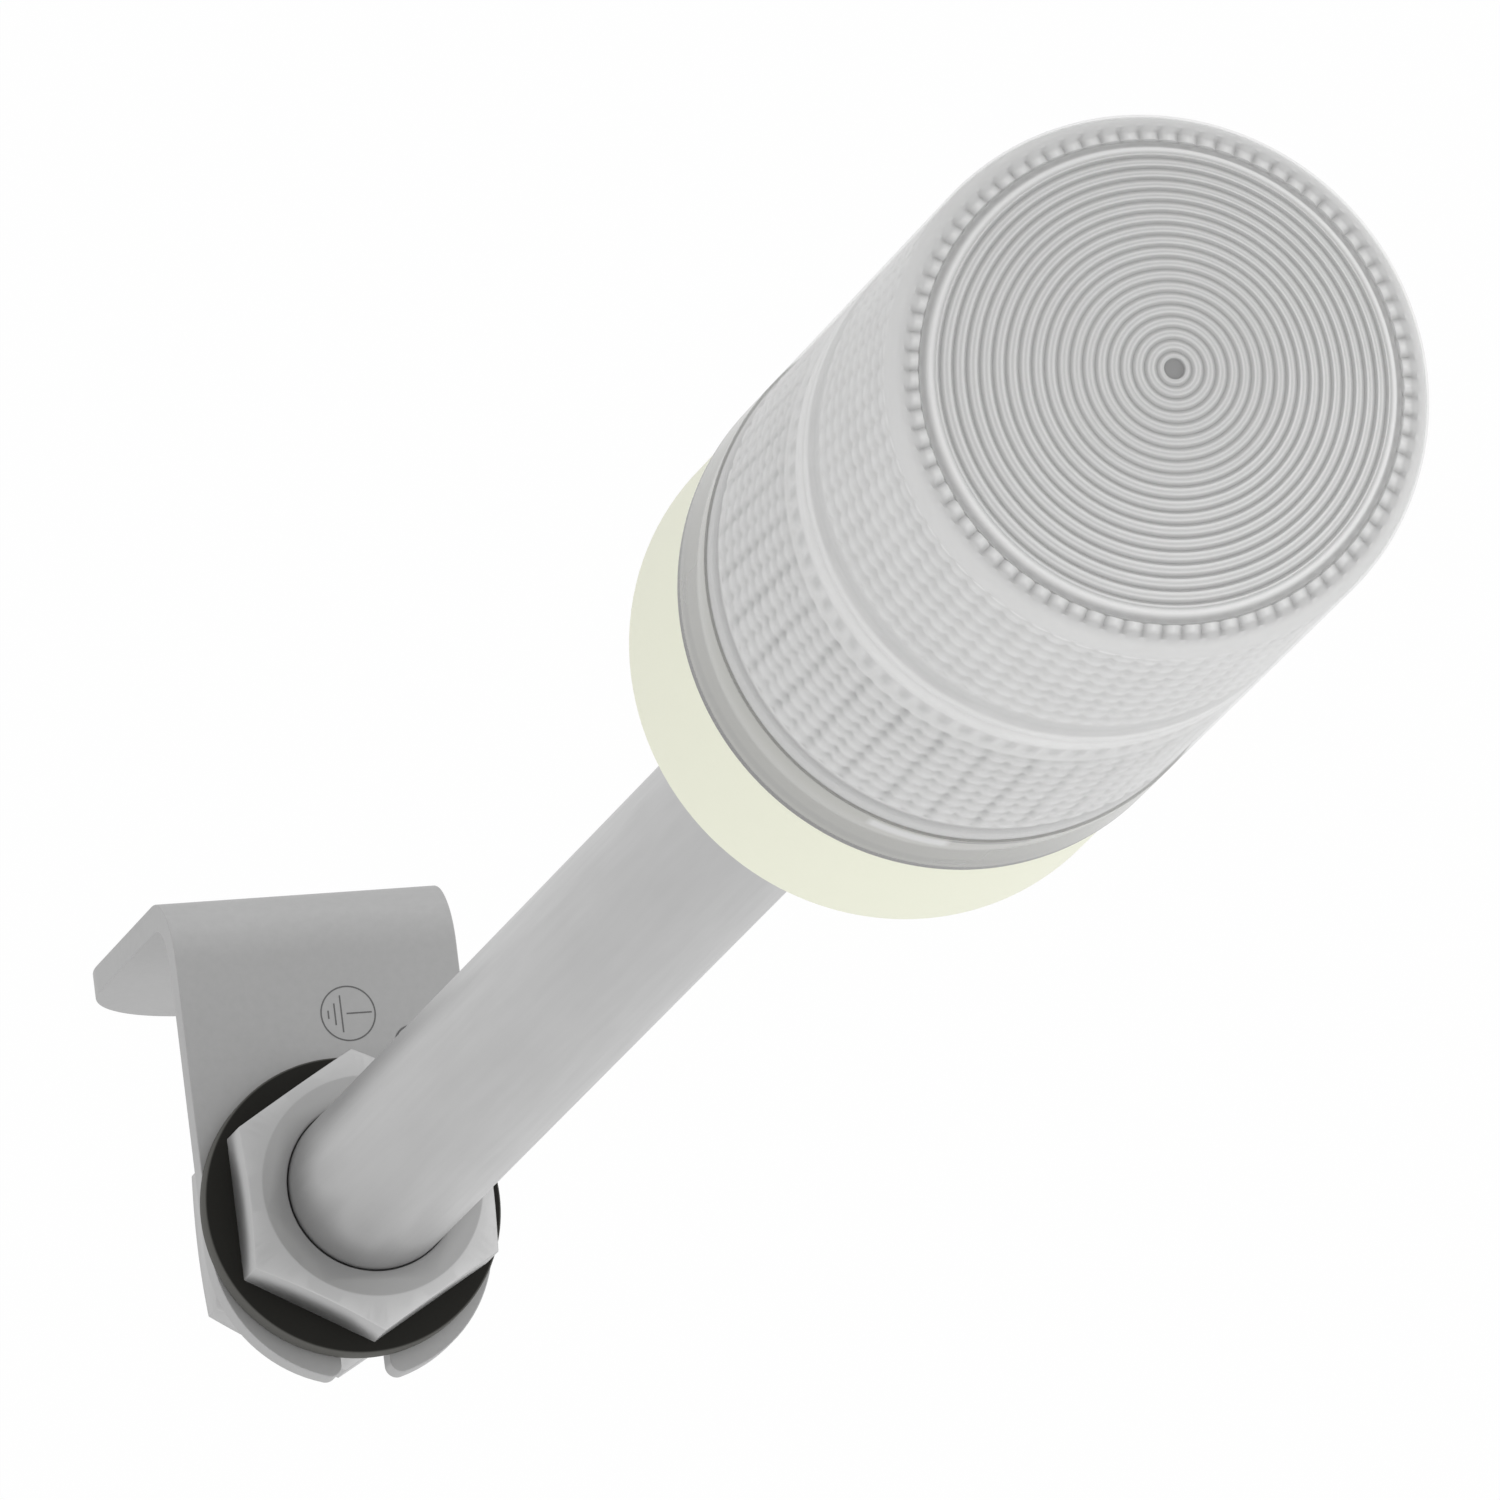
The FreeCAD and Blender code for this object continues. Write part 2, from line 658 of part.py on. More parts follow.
# ---- chassis: carries the lens by three bayonet lugs, the boards and the light post ----
def sector(sketch, inside, outside, start, sweep):
    """Closed ring sector between two angles in degrees."""
    angles = [math.radians(start), math.radians(start + sweep)]
    cosines = [math.cos(a) for a in angles]
    sines = [math.sin(a) for a in angles]
    corners = [
        (outside * cosines[0], outside * sines[0]),
        (outside * cosines[1], outside * sines[1]),
        (inside * cosines[1], inside * sines[1]),
        (inside * cosines[0], inside * sines[0]),
    ]
    closed_outline(sketch, corners, {0: (0, 0, True), 2: (0, 0, False)})


def make_chassis():
    inside = collar_radius - chassis_wall
    skirt_radius = base_radius - base_wall - slip_gap
    collar_top = flange_thick + collar_height
    flange_edge = base_radius - flange_recess
    groove_level = flange_thick + ring_level
    groove_half = ring_section / 2 + thread_gap
    groove_bottom = lens_inside - ring_section - 2 * thread_gap
    corners = [
        (inside, -chassis_skirt),
        (skirt_radius, -chassis_skirt),
        (skirt_radius, 0),
        (flange_edge, 0),
        (flange_edge, flange_thick),
        (collar_radius, flange_thick),
        (collar_radius, groove_level - groove_half),
        (groove_bottom, groove_level - groove_half),
        (groove_bottom, groove_level + groove_half),
        (collar_radius, groove_level + groove_half),
        (collar_radius, collar_top),
        (0, collar_top),
        (0, collar_top - deck_thick),
        (inside, collar_top - deck_thick),
    ]
    body = turned_body("base_chassis", flange_level, corners)

    # hooked grooves: a run under the lip, and an entry that opens at the top
    run_height = lug_height + slip_gap * 2
    run_level = flange_thick + lug_level - slip_gap
    gap_angle = math.degrees(slip_gap.number / collar_radius.number)
    lug_start = lug_angle - bayonet_turn.number / 2
    cut_inside = collar_radius - lug_depth - slip_gap
    run = new_sketch(body, "bayonet_run", "XY_Plane", run_level)
    run_sweep = 2 * bayonet_turn.number + 3 * gap_angle
    sector(run, cut_inside, collar_radius + 1, lug_start - gap_angle, run_sweep)
    run_cut = cut(body, run, run_height, reverse=True)
    polar(body, [run_cut], lug_count)
    entry = new_sketch(body, "bayonet_entry", "XY_Plane", run_level)
    entry_sweep = bayonet_turn.number + 2 * gap_angle
    sector(entry, cut_inside, collar_radius + 1, lug_start + bayonet_turn.number, entry_sweep)
    polar(body, [cut(body, entry, collar_height, reverse=True)], lug_count)

    # screw tabs at the foot of the skirt
    tab = new_sketch(body, "screw_tab", "XY_Plane", -chassis_skirt)
    circle_in(tab, pillar_diameter / 2, tab_x, tab_y)
    polar(body, [pad(body, tab, chassis_skirt)], pillar_count)
    pilot = new_sketch(body, "tab_pilot", "XY_Plane", -chassis_skirt)
    circle_in(pilot, screw_pilot, tab_x, tab_y)
    polar(body, [cut(body, pilot, chassis_skirt - tab_web, reverse=True)], pillar_count)

    # posts that hang the driver board under the deck, and the wire hole in the deck
    post = new_sketch(body, "driver_posts", "XY_Plane", collar_top - deck_thick)
    circle_in(post, driver_post / 2, driver_x, driver_y)
    polar(body, [pad(body, post, collar_top - deck_thick + driver_drop, reverse=True)], pillar_count)
    blind = new_sketch(body, "driver_pilots", "XY_Plane", -driver_drop)
    circle_in(blind, screw_pilot, driver_x, driver_y)
    polar(body, [cut(body, blind, driver_screw, reverse=True)], pillar_count)
    wire = new_sketch(body, "wire_hole", "XY_Plane", collar_top)
    circle_in(wire, post_width / 2 - post_wall)
    cut(body, wire, deck_thick)
    # pilots for the light post's foot screws
    foot = new_sketch(body, "foot_pilots", "XY_Plane", collar_top)
    circle_in(foot, screw_pilot, 0, foot_screw_y)
    circle_in(foot, screw_pilot, 0, -foot_screw_y)
    cut(body, foot, deck_thick)
    return body


def screw_group(label, places, length, downward=True):
    """One node for a set of equal screws: pan heads with their shanks, head side at the place."""
    sign = 1 if downward else -1
    shank_way = FreeCAD.Vector(0, 0, -sign)
    shapes = []
    for x, y, z in places:
        place = FreeCAD.Vector(x, y, z)
        shank = Part.makeCylinder((screw_diameter / 2).number, sized(length).number, place, shank_way)
        head = Part.makeCylinder((screw_head / 2).number, screw_head_height.number, place, -shank_way)
        shapes.append(shank.fuse(head).removeSplitter())
    node = doc.addObject("Part::Feature", label)
    node.Label = label
    node.Shape = Part.makeCompound(shapes)
    return node


def around(circle, angle, count, level):
    """Places on a circle about the pole axis."""
    radius = sized(circle).number
    turns = [math.radians(angle + 360 * n / count) for n in range(count)]
    height = sized(level).number
    return [(radius * math.cos(a), radius * math.sin(a) - pole_offset.number, height) for a in turns]


def make_chassis_screws():
    level = base_level + base_height - chassis_skirt - screw_web
    places = around(pillar_circle, pillar_angle, pillar_count, level)
    return screw_group("chassis_screws", places, tab_screw, False)


def make_driver_board():
    body = new_body("driver_board", flange_level - driver_drop - board_thick)
    disc = new_sketch(body, "driver_disc", "XY_Plane")
    circle_in(disc, driver_diameter / 2)
    pad(body, disc, board_thick)
    hole = new_sketch(body, "driver_hole", "XY_Plane")
    circle_in(hole, screw_clear, driver_x, driver_y)
    polar(body, [cut(body, hole, board_thick, reverse=True)], pillar_count)
    centre = new_sketch(body, "driver_wire_hole", "XY_Plane")
    circle_in(centre, wire_hole / 2)
    cut(body, centre, board_thick, reverse=True)
    return body


def make_driver_screws():
    level = flange_level - driver_drop - board_thick
    places = around(driver_circle, driver_angle, pillar_count, level)
    return screw_group("driver_screws", places, driver_screw, False)


def make_terminal_block():
    """Screw terminal block on top of the driver board, with one wire entry for each pole."""
    poles = 4
    pitch = 3.5
    half = poles * pitch / 2
    front = 6.5
    back = front + 7
    height = 8.5
    entry_half = 1.2
    entry_bottom = 1
    entry_top = 4
    entry_depth = 4
    screw_y = front + 4.2
    screw_sink = 2
    body = new_body("terminal_block", flange_level - driver_drop)
    block = new_sketch(body, "block", "XY_Plane")
    closed_outline(block, [(-half, front), (half, front), (half, back), (-half, back)])
    pad(body, block, height)
    middles = [(n + 0.5) * pitch - half for n in range(poles)]
    entries = new_sketch(body, "wire_entries", "XZ_Plane", -front)
    for x in middles:
        left = x - entry_half
        right = x + entry_half
        entry = [(left, entry_bottom), (right, entry_bottom), (right, entry_top), (left, entry_top)]
        closed_outline(entries, entry)
    cut(body, entries, entry_depth)
    heads = new_sketch(body, "clamp_screws", "XY_Plane", height)
    for x in middles:
        circle_in(heads, entry_half, x, screw_y)
    cut(body, heads, screw_sink)
    return body


def make_driver_components():
    """Smoothing capacitor, choke and two flat packages that stand on the driver board."""
    level = (flange_level - driver_drop).number
    up = FreeCAD.Vector(0, 0, 1)

    def spot(x, y, rise=0):
        return FreeCAD.Vector(x, y - pole_offset.number, level + rise)

    can_radius = 4
    can_height = 11
    can = Part.makeCylinder(can_radius, can_height, spot(-8, -9), up)

    end_radius = 5
    end_height = 1
    waist_radius = 3.6
    waist_height = 2.5
    choke = Part.makeCylinder(end_radius, end_height, spot(8, -9), up)
    choke = choke.fuse(Part.makeCylinder(waist_radius, waist_height, spot(8, -9, end_height), up))
    upper_end = spot(8, -9, end_height + waist_height)
    choke = choke.fuse(Part.makeCylinder(end_radius, end_height, upper_end, up))

    package = (5, 4, 1.6)
    packages = [Part.makeBox(*package, spot(x - package[0] / 2, -package[1] / 2)) for x in (-12, 12)]
    node = doc.addObject("Part::Feature", "driver_components")
    node.Label = "driver_components"
    node.Shape = Part.makeCompound([can, choke.removeSplitter()] + packages)
    return node


def make_lens_seal():
    """Square-section rubber ring in the chassis groove, touching the inside of the lens."""
    outside = lens_inside - thread_gap
    half = ring_section / 2
    level = lens_level + ring_level
    return turned_body("lens_seal", level, ring_corners(outside - ring_section, outside, -half, half))


# ---- light column ----
def make_light_post():
    """Square moulded tube on a round foot, closed at the top for the top board's screw."""
    half = post_width / 2
    hollow = half - post_wall
    body = new_body("light_post", deck_level)
    foot = new_sketch(body, "post_foot", "XY_Plane")
    circle_in(foot, post_foot / 2)
    pad(body, foot, foot_thick)
    square = new_sketch(body, "post_square", "XY_Plane")
    closed_outline(square, [(-half, -half), (half, -half), (half, half), (-half, half)])
    pad(body, square, post_height)
    core = new_sketch(body, "post_core", "XY_Plane")
    closed_outline(core, [(-hollow, -hollow), (hollow, -hollow), (hollow, hollow), (-hollow, hollow)])
    cut(body, core, post_height - top_web, reverse=True)
    ways = new_sketch(body, "foot_ways", "XY_Plane")
    circle_in(ways, screw_clear, 0, foot_screw_y)
    circle_in(ways, screw_clear, 0, -foot_screw_y)
    cut(body, ways, foot_thick, reverse=True)
    pilot = new_sketch(body, "post_pilot", "XY_Plane", post_height)
    circle_in(pilot, screw_pilot)
    cut(body, pilot, top_web)
    return body


def make_post_screws():
    return screw_group("post_screws", around(foot_screw_y, 90, 2, deck_level + foot_thick), deck_screw)


side_names = ("front", "right", "back", "left")


def side_turn(number):
    """Turn about Z that brings a piece made for the front to this side."""
    return FreeCAD.Rotation(FreeCAD.Vector(0, 0, 1), 90 * number)


def make_side_board(number):
    """Upright board held flat against one side of the post."""
    body = new_body("led_board_" + side_names[number], side_board_level)
    body.Placement.Rotation = side_turn(number)
    sketch = new_sketch(body, "side_outline_" + side_names[number], "XZ_Plane", post_width / 2)
    half = led_board_width / 2
    closed_outline(sketch, [(-half, 0), (half, 0), (half, side_board_height), (-half, side_board_height)])
    pad(body, sketch, led_board_thick)
    return body


def chip_node(label, chips):
    node = doc.addObject("Part::Feature", label)
    node.Label = label
    node.Shape = Part.makeCompound(chips)
    return node


def make_side_chips(number):
    """Light chips in one row up a side board."""
    left = -chip_width.number / 2
    front = -(post_width / 2 + led_board_thick + chip_depth).number
    turned = FreeCAD.Placement(FreeCAD.Vector(0, -pole_offset.number, 0), side_turn(number))
    chips = []
    for row in range(chips_per_side):
        level = (side_board_level + chip_margin + chip_pitch * row).number
        chip = Part.makeBox(
            chip_width.number, chip_depth.number, chip_height.number, FreeCAD.Vector(left, front, level)
        )
        chip.Placement = turned.multiply(chip.Placement)
        chips.append(chip)
    return chip_node("led_chips_" + side_names[number], chips)


def make_top_board():
    body = new_body("led_board_top", post_top)
    disc = new_sketch(body, "top_disc", "XY_Plane")
    circle_in(disc, top_board_diameter / 2)
    circle_in(disc, screw_clear)
    pad(body, disc, board_thick)
    return body


def make_top_chips():
    """Four chips round the top screw."""
    to_corner = FreeCAD.Vector(-chip_width.number / 2, -chip_height.number / 2, 0)
    chips = []
    for x, y, z in around(chip_circle, 45, side_count, post_top + board_thick):
        corner = FreeCAD.Vector(x, y, z) + to_corner
        chips.append(Part.makeBox(chip_width.number, chip_height.number, chip_depth.number, corner))
    return chip_node("led_chips_top", chips)


def make_top_screw():
    return screw_group("top_screw", around(0, 0, 1, post_top + board_thick), top_web)


# ---- lens: one clear moulding ----
def cut_turned(body, sketch):
    """A full groove that must take material away."""
    before = body.Shape.Volume
    feature = body.newObject("PartDesign::Groove", sketch.Name + "_groove")
    feature.Profile = sketch
    feature.ReferenceAxis = (sketch, ["V_Axis"])
    feature.Angle = 360
    doc.recompute()
    if body.Shape.Volume > before - 1:
        raise ValueError("%s cuts nothing from %s" % (sketch.Name, body.Label))


def make_lens():
    """Smooth outside. Inside: prism rows, and stepped rings and a toothed ledge under the dome."""
    body = new_body("outer_lens", lens_level)
    centre_z = lens_height - dome_radius
    inner_dome = dome_radius - lens_wall
    inner_top = lens_height - lens_wall

    def under_dome(radius):
        """Height of the dome's inner face at this radius."""
        return centre_z + (inner_dome * inner_dome - radius * radius).root()

    # the shoulder is tangent to the wall and to the dome
    round_x = lens_radius - shoulder
    round_reach = dome_radius - shoulder
    round_z = centre_z + (round_reach * round_reach - round_x * round_x).root()
    spread = dome_radius / round_reach
    ledge_radius = lens_inside - tooth_reach
    ledge = under_dome(ledge_radius)
    corners = [
        (lens_inside, 0),
        (lens_radius, 0),
        (lens_radius, round_z),
        (round_x * spread, centre_z + (round_z - centre_z) * spread),
        (0, lens_height),
        (0, inner_top),
        (ledge_radius, ledge),
        (lens_inside, ledge),
    ]
    arcs = {2: (round_x, round_z, True), 3: (0, centre_z, True), 5: (0, centre_z, False)}
    turn(body, "lens_shell", corners, arcs)

    # two fields of prism rows: an upright saw edge turned into the wall
    skin = 0.05
    prism_pitch = (ledge - field_margin - field_gap - lower_field) / (2 * row_count)
    upper_field = lower_field + prism_pitch * row_count + field_gap
    for name, level in (("lower_prisms", lower_field), ("upper_prisms", upper_field)):
        edge = [(lens_inside - 1, level)]
        for row in range(row_count):
            edge.append((lens_inside + skin, level + prism_pitch * row))
            edge.append((lens_inside + prism_depth, level + prism_pitch * (row + 0.5)))
        edge.append((lens_inside + skin, level + prism_pitch * row_count))
        edge.append((lens_inside - 1, level + prism_pitch * row_count))
        rows = new_sketch(body, name, "XZ_Plane")
        closed_outline(rows, edge)
        cut_turned(body, rows)

    # middle rib between the two fields, flat on its lower side
    rib_foot = upper_field - rib_drop
    turn(
        body,
        "middle_rib",
        [
            (lens_inside - rib_reach, rib_foot),
            (lens_inside + overlap, rib_foot),
            (lens_inside + overlap, rib_foot + rib_width),
            (lens_inside - rib_reach / 2, rib_foot + rib_width),
        ],
    )

    # stepped rings: a steep riser and a gentle slope for each
    riser = ring_pitch * 0.15
    floor = ledge - 1
    edge = [(first_ring - riser, floor)]
    for n in range(ring_count):
        radius = first_ring + ring_pitch * n
        edge.append((radius - riser, under_dome(radius - riser) + skin))
        edge.append((radius, under_dome(radius) + ring_depth))
    last = first_ring + ring_pitch * ring_count - riser
    edge.append((last, under_dome(last) + skin))
    edge.append((last, floor))
    rings = new_sketch(body, "dome_rings", "XZ_Plane")
    closed_outline(rings, edge)
    cut_turned(body, rings)

    # teeth under the ledge
    tooth = new_sketch(body, "tooth", "XY_Plane", ledge)
    half = tooth_width / 2
    inner = ledge_radius + overlap
    outer = lens_inside + overlap
    closed_outline(tooth, [(inner, -half), (outer, -half), (outer, half), (inner, half)])
    polar(body, [pad(body, tooth, tooth_length, reverse=True)], tooth_count)

    # bayonet lugs
    lug = new_sketch(body, "lens_lug", "XY_Plane", lug_level)
    start = lug_angle - bayonet_turn.number / 2
    sector(lug, collar_radius - lug_depth, lens_inside + overlap, start, bayonet_turn.number)
    polar(body, [pad(body, lug, lug_height)], lug_count)
    return body


parts = [
    make_bracket(),
    make_earth_stud(),
    make_gasket(),
    make_nut("upper_nut", upper_nut_level, nut_across, nut_height, nut_face, thread_radius, False),
    make_flat_washer(),
    make_lock_washer(),
    make_nut("lower_nut", lower_nut_level, nut_across, nut_height, nut_face, thread_radius, True),
    make_pole(),
    make_cable_bush(),
    make_base_housing(),
    make_pole_seal(),
    make_nut(
        "pole_top_nut", base_level + base_floor + seal_thick, top_nut_across, top_nut_height,
        top_nut_face, spigot_radius + thread_gap, False,
    ),
    make_chassis(),
    make_chassis_screws(),
    make_driver_board(),
    make_driver_screws(),
    make_driver_components(),
    make_terminal_block(),
    make_lens_seal(),
    make_light_post(),
    make_post_screws(),
    make_top_board(),
    make_top_chips(),
    make_top_screw(),
    make_lens(),
]
for number in range(side_count):
    parts.append(make_side_board(number))
    parts.append(make_side_chips(number))

doc.recompute()
for item in doc.Objects:
    if "Invalid" in item.State or "Error" in item.State:
        raise ValueError("%s failed: %s" % (item.Name, item.State))
for part in parts:
    if part.Shape.isNull() or not part.Shape.isValid():
        raise ValueError("%s has no valid shape" % part.Label)

os.makedirs("parts", exist_ok=True)
for part in parts:
    part.Shape.exportStep("parts/%s.step" % part.Label)
    print("%-20s %2d solid  %10.1f mm3" % (part.Label, len(part.Shape.Solids), part.Shape.Volume))
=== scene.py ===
import math

import bmesh
import bpy
from mathutils import Matrix, Vector


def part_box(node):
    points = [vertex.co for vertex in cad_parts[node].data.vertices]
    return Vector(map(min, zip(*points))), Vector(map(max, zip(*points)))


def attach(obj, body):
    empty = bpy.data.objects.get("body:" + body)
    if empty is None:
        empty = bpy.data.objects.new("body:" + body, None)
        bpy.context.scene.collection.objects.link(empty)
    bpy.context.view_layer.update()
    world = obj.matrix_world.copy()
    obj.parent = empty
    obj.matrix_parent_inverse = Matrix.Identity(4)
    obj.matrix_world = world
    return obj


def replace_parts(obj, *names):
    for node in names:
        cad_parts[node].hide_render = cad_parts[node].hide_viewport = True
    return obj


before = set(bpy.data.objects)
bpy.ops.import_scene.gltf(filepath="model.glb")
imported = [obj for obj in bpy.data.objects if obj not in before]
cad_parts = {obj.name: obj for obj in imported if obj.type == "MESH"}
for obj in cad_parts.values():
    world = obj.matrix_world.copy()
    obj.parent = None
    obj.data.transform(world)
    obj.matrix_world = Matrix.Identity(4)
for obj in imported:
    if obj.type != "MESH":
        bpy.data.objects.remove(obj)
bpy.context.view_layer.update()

mm = 0.001
poleLow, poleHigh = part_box("pole")
axisX = (poleLow.x + poleHigh.x) / 2
axisY = (poleLow.y + poleHigh.y) / 2
axis = Vector((axisX, axisY, 0))
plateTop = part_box("mounting_bracket")[1].z
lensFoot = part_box("outer_lens")[0].z / mm
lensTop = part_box("outer_lens")[1].z / mm
edgeMargin = 0.001  # mm, so that the lens stays just inside its CAD box
lensRadius = (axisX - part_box("outer_lens")[0].x) / mm - edgeMargin
print("frame loaded")


class Link:
    # wraps a socket, so that a sum on it adds a Math node
    def __init__(self, recipe, socket):
        self.recipe = recipe
        self.socket = socket

    def do(self, operation, *others):
        return self.recipe.node("ShaderNodeMath", {"operation": operation}, [self, *others])

    def __add__(self, other):
        return self.do("ADD", other)

    def __radd__(self, other):
        return self.do("ADD", other)

    def __sub__(self, other):
        return self.do("SUBTRACT", other)

    def __rsub__(self, other):
        return self.recipe.node("ShaderNodeMath", {"operation": "SUBTRACT"}, [other, self])

    def __mul__(self, other):
        return self.do("MULTIPLY", other)

    def __rmul__(self, other):
        return self.do("MULTIPLY", other)

    def __truediv__(self, other):
        return self.do("DIVIDE", other)


class Recipe:
    # a node tree and the ways to add to it
    def __init__(self, tree):
        self.tree = tree

    def node(self, kind, settings=None, inputs=None, output=0):
        # settings are set first, then each socket gets its value or link
        made = self.tree.nodes.new(kind)
        for key, value in (settings or {}).items():
            setattr(made, key, value)
        pairs = enumerate(inputs) if isinstance(inputs, list) else (inputs or {}).items()
        for key, value in pairs:
            if isinstance(value, Link):
                self.tree.links.new(value.socket, made.inputs[key])
            else:
                made.inputs[key].default_value = value
        return Link(self, made.outputs[output])

    def ramp(self, value, start, end, low=0.0, high=1.0):
        # goes evenly from low at start to high at end, and stays there past both
        limits = {"From Min": start, "From Max": end, "To Min": low, "To Max": high}
        return self.node("ShaderNodeMapRange", inputs={"Value": value, **limits})

    def join(self, value, socket):
        self.tree.links.new(value.socket, socket)


class Finish(Recipe):
    # one material with its shader; constants go straight to the shader's own sockets
    def __init__(self, name, **constants):
        self.material = bpy.data.materials.new(name)
        self.material.use_nodes = True
        super().__init__(self.material.node_tree)
        self.shader = self.tree.nodes["Principled BSDF"]
        for socket, value in constants.items():
            self.shader.inputs[socket.replace("_", " ")].default_value = value

    def place(self):
        return self.node("ShaderNodeTexCoord", output="Object")

    def noise(self, scale, detail=3.0, roughness=0.55, stretch=(1, 1, 1)):
        where = self.node("ShaderNodeMapping", inputs={"Vector": self.place(), "Scale": stretch})
        sockets = {"Vector": where, "Scale": scale, "Detail": detail, "Roughness": roughness}
        return self.node("ShaderNodeTexNoise", inputs=sockets)

    def split(self):
        # distance from the pole axis, angle about it in degrees, and height, in mm
        where = [self.place()]
        x, y, z = (self.node("ShaderNodeSeparateXYZ", inputs=where, output=way) * (1 / mm) for way in "XYZ")
        x = x - axisX / mm
        y = y - axisY / mm
        radius = (x * x + y * y).do("SQRT")
        angle = y.do("ARCTAN2", x) * (180 / math.pi)
        return radius, angle, z

    def between(self, value, low, high, soft, strength=1.0):
        # the strength inside a band, 0 outside, with soft ends
        up = self.ramp(value, low - soft, low + soft, 0.0, strength)
        return up * self.ramp(value, high - soft, high + soft, 1.0, 0.0)

    def wave(self, value, pitch, start):
        # 1 on each line and 0 half way between two of them
        return ((value - start) * (2 * math.pi / pitch)).do("COSINE") * 0.5 + 0.5

    def comb(self, value, pitch, start, width):
        # soft lines, one each pitch: 1 in the middle of a line
        turn = ((value - start) / pitch + 0.5).do("FRACT") - 0.5
        return self.ramp(turn.do("ABSOLUTE") * pitch, width, 0.0)

    def line(self, value, middle, width, strength=1.0):
        # one soft line
        return self.ramp((value - middle).do("ABSOLUTE"), width, 0.0, 0.0, strength)

    def blend(self, factor, first, second):
        # on a colour mix, inputs 0, 6 and 7 are its factor and two colours, and output 2 its result
        first, second = (c if isinstance(c, Link) else (*c, 1) for c in (first, second))
        return self.node("ShaderNodeMix", {"data_type": "RGBA"}, {0: factor, 6: first, 7: second}, 2)

    def tinted(self, level):
        # a grey with a trace of yellow
        return self.node("ShaderNodeCombineXYZ", inputs=[level, level, level * 0.995])

    def around(self, noise, middle, spread):
        # a noise spread evenly about a middle value
        return noise * spread + (middle - spread / 2)

    def put(self, socket, value):
        self.join(value, self.shader.inputs[socket])

    def bump(self, height, strength, distance):
        sockets = {"Strength": strength, "Distance": distance, "Height": height}
        self.put("Normal", self.node("ShaderNodeBump", inputs=sockets))


def shade(level):
    return (level, level, level)


# metal, plastic and rubber, each with its fine grain and soft clouds of colour
def satinMetal(name, colour, roughness, grain, relief=0.12):
    # grain squeezes the fine noise along X, Y and Z; a small number draws it out into lines
    metal = Finish(name, Metallic=1.0)
    lines = metal.noise(scale=900, detail=4, roughness=0.6, stretch=grain)
    cloud = metal.noise(scale=35)
    metal.put("Base Color", metal.blend(cloud, shade(colour * 0.94), shade(colour * 1.05)))
    metal.put("Roughness", metal.around(lines, roughness, spread=0.16))
    metal.bump(lines, strength=relief, distance=0.00004)
    return metal.material


def mouldedPlastic(name, colour, roughness):
    plastic = Finish(name)
    grain = plastic.noise(scale=1400, detail=2, roughness=0.5)
    cloud = plastic.noise(scale=22)
    low = tuple(c * 0.975 for c in colour)
    high = tuple(min(1, c * 1.02) for c in colour)
    plastic.put("Base Color", plastic.blend(cloud, low, high))
    plastic.put("Roughness", plastic.around(grain, roughness, spread=0.1))
    plastic.bump(grain, strength=0.1, distance=0.00003)
    return plastic.material


def mouldedRubber(name, colour, litSideColour, litSideRadius):
    # the side wall, outside the given radius, is painted a lighter grey than the faces, as painted light
    # falling on the side
    rubber = Finish(name, Specular_IOR_Level=0.15)
    radius = rubber.split()[0]
    grain = rubber.noise(scale=2600, roughness=0.6)
    dust = rubber.noise(scale=60, detail=4)
    face = rubber.blend(dust, colour, tuple(c * 1.3 + 0.002 for c in colour))
    # painted light: a lighter grey on the side wall
    onLitSide = rubber.ramp(radius, litSideRadius - 0.1, litSideRadius + 0.1)
    rubber.put("Base Color", rubber.blend(onLitSide, face, litSideColour))
    rubber.put("Roughness", grain * 0.15 + 0.7)
    rubber.bump(grain, strength=0.25, distance=0.00005)
    return rubber.material


gasketLow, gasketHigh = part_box("bracket_gasket")
gasketLitSide = (gasketHigh.x - gasketLow.x) / 2 / mm - 0.2  # where the painted light on its side wall starts
# metals: colour, roughness, grain and relief; plastics: colour and roughness
finish = {
    "steel": satinMetal("zincSteel", 0.5, 0.6, (1, 1, 1)),
    "nut": satinMetal("nutSteel", 0.465, 0.38, (1, 1, 6)),
    "pole": satinMetal("satinPole", 0.46, 0.32, (1, 1, 0.04), 0.03),
    # the rubber's side wall is painted lighter, as painted light
    "rubber": mouldedRubber("blackRubber", (0.0142, 0.0138, 0.0118), (0.095, 0.094, 0.087), gasketLitSide),
    "cream": mouldedPlastic("creamPlastic", (0.80, 0.81, 0.665), 0.5),
    "grey": mouldedPlastic("greyPlastic", (0.42, 0.415, 0.395), 0.5),
    "seal": mouldedPlastic("greySilicone", (0.30, 0.298, 0.285), 0.6),
    "white": mouldedPlastic("whitePlastic", (0.72, 0.72, 0.70), 0.45),
    "green": mouldedPlastic("greenPlastic", (0.05, 0.22, 0.08), 0.4),
    "black": mouldedPlastic("blackPlastic", (0.02, 0.02, 0.02), 0.4),
    "ink": mouldedPlastic("engravedLine", (0.14, 0.14, 0.14), 0.7),
}
print("finishes made")


def finishedPiece(name, bm, material, sharp=32):
    # smooth, apart from edges of more than the sharp angle in degrees
    mesh = bpy.data.meshes.new(name)
    bm.to_mesh(mesh)
    bm.free()
    for polygon in mesh.polygons:
        polygon.use_smooth = True
    mesh.set_sharp_from_angle(angle=math.radians(sharp))
    piece = bpy.data.objects.new(name, mesh)
    bpy.context.scene.collection.objects.link(piece)
    mesh.materials.append(material)
    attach(piece, "root")
    return piece


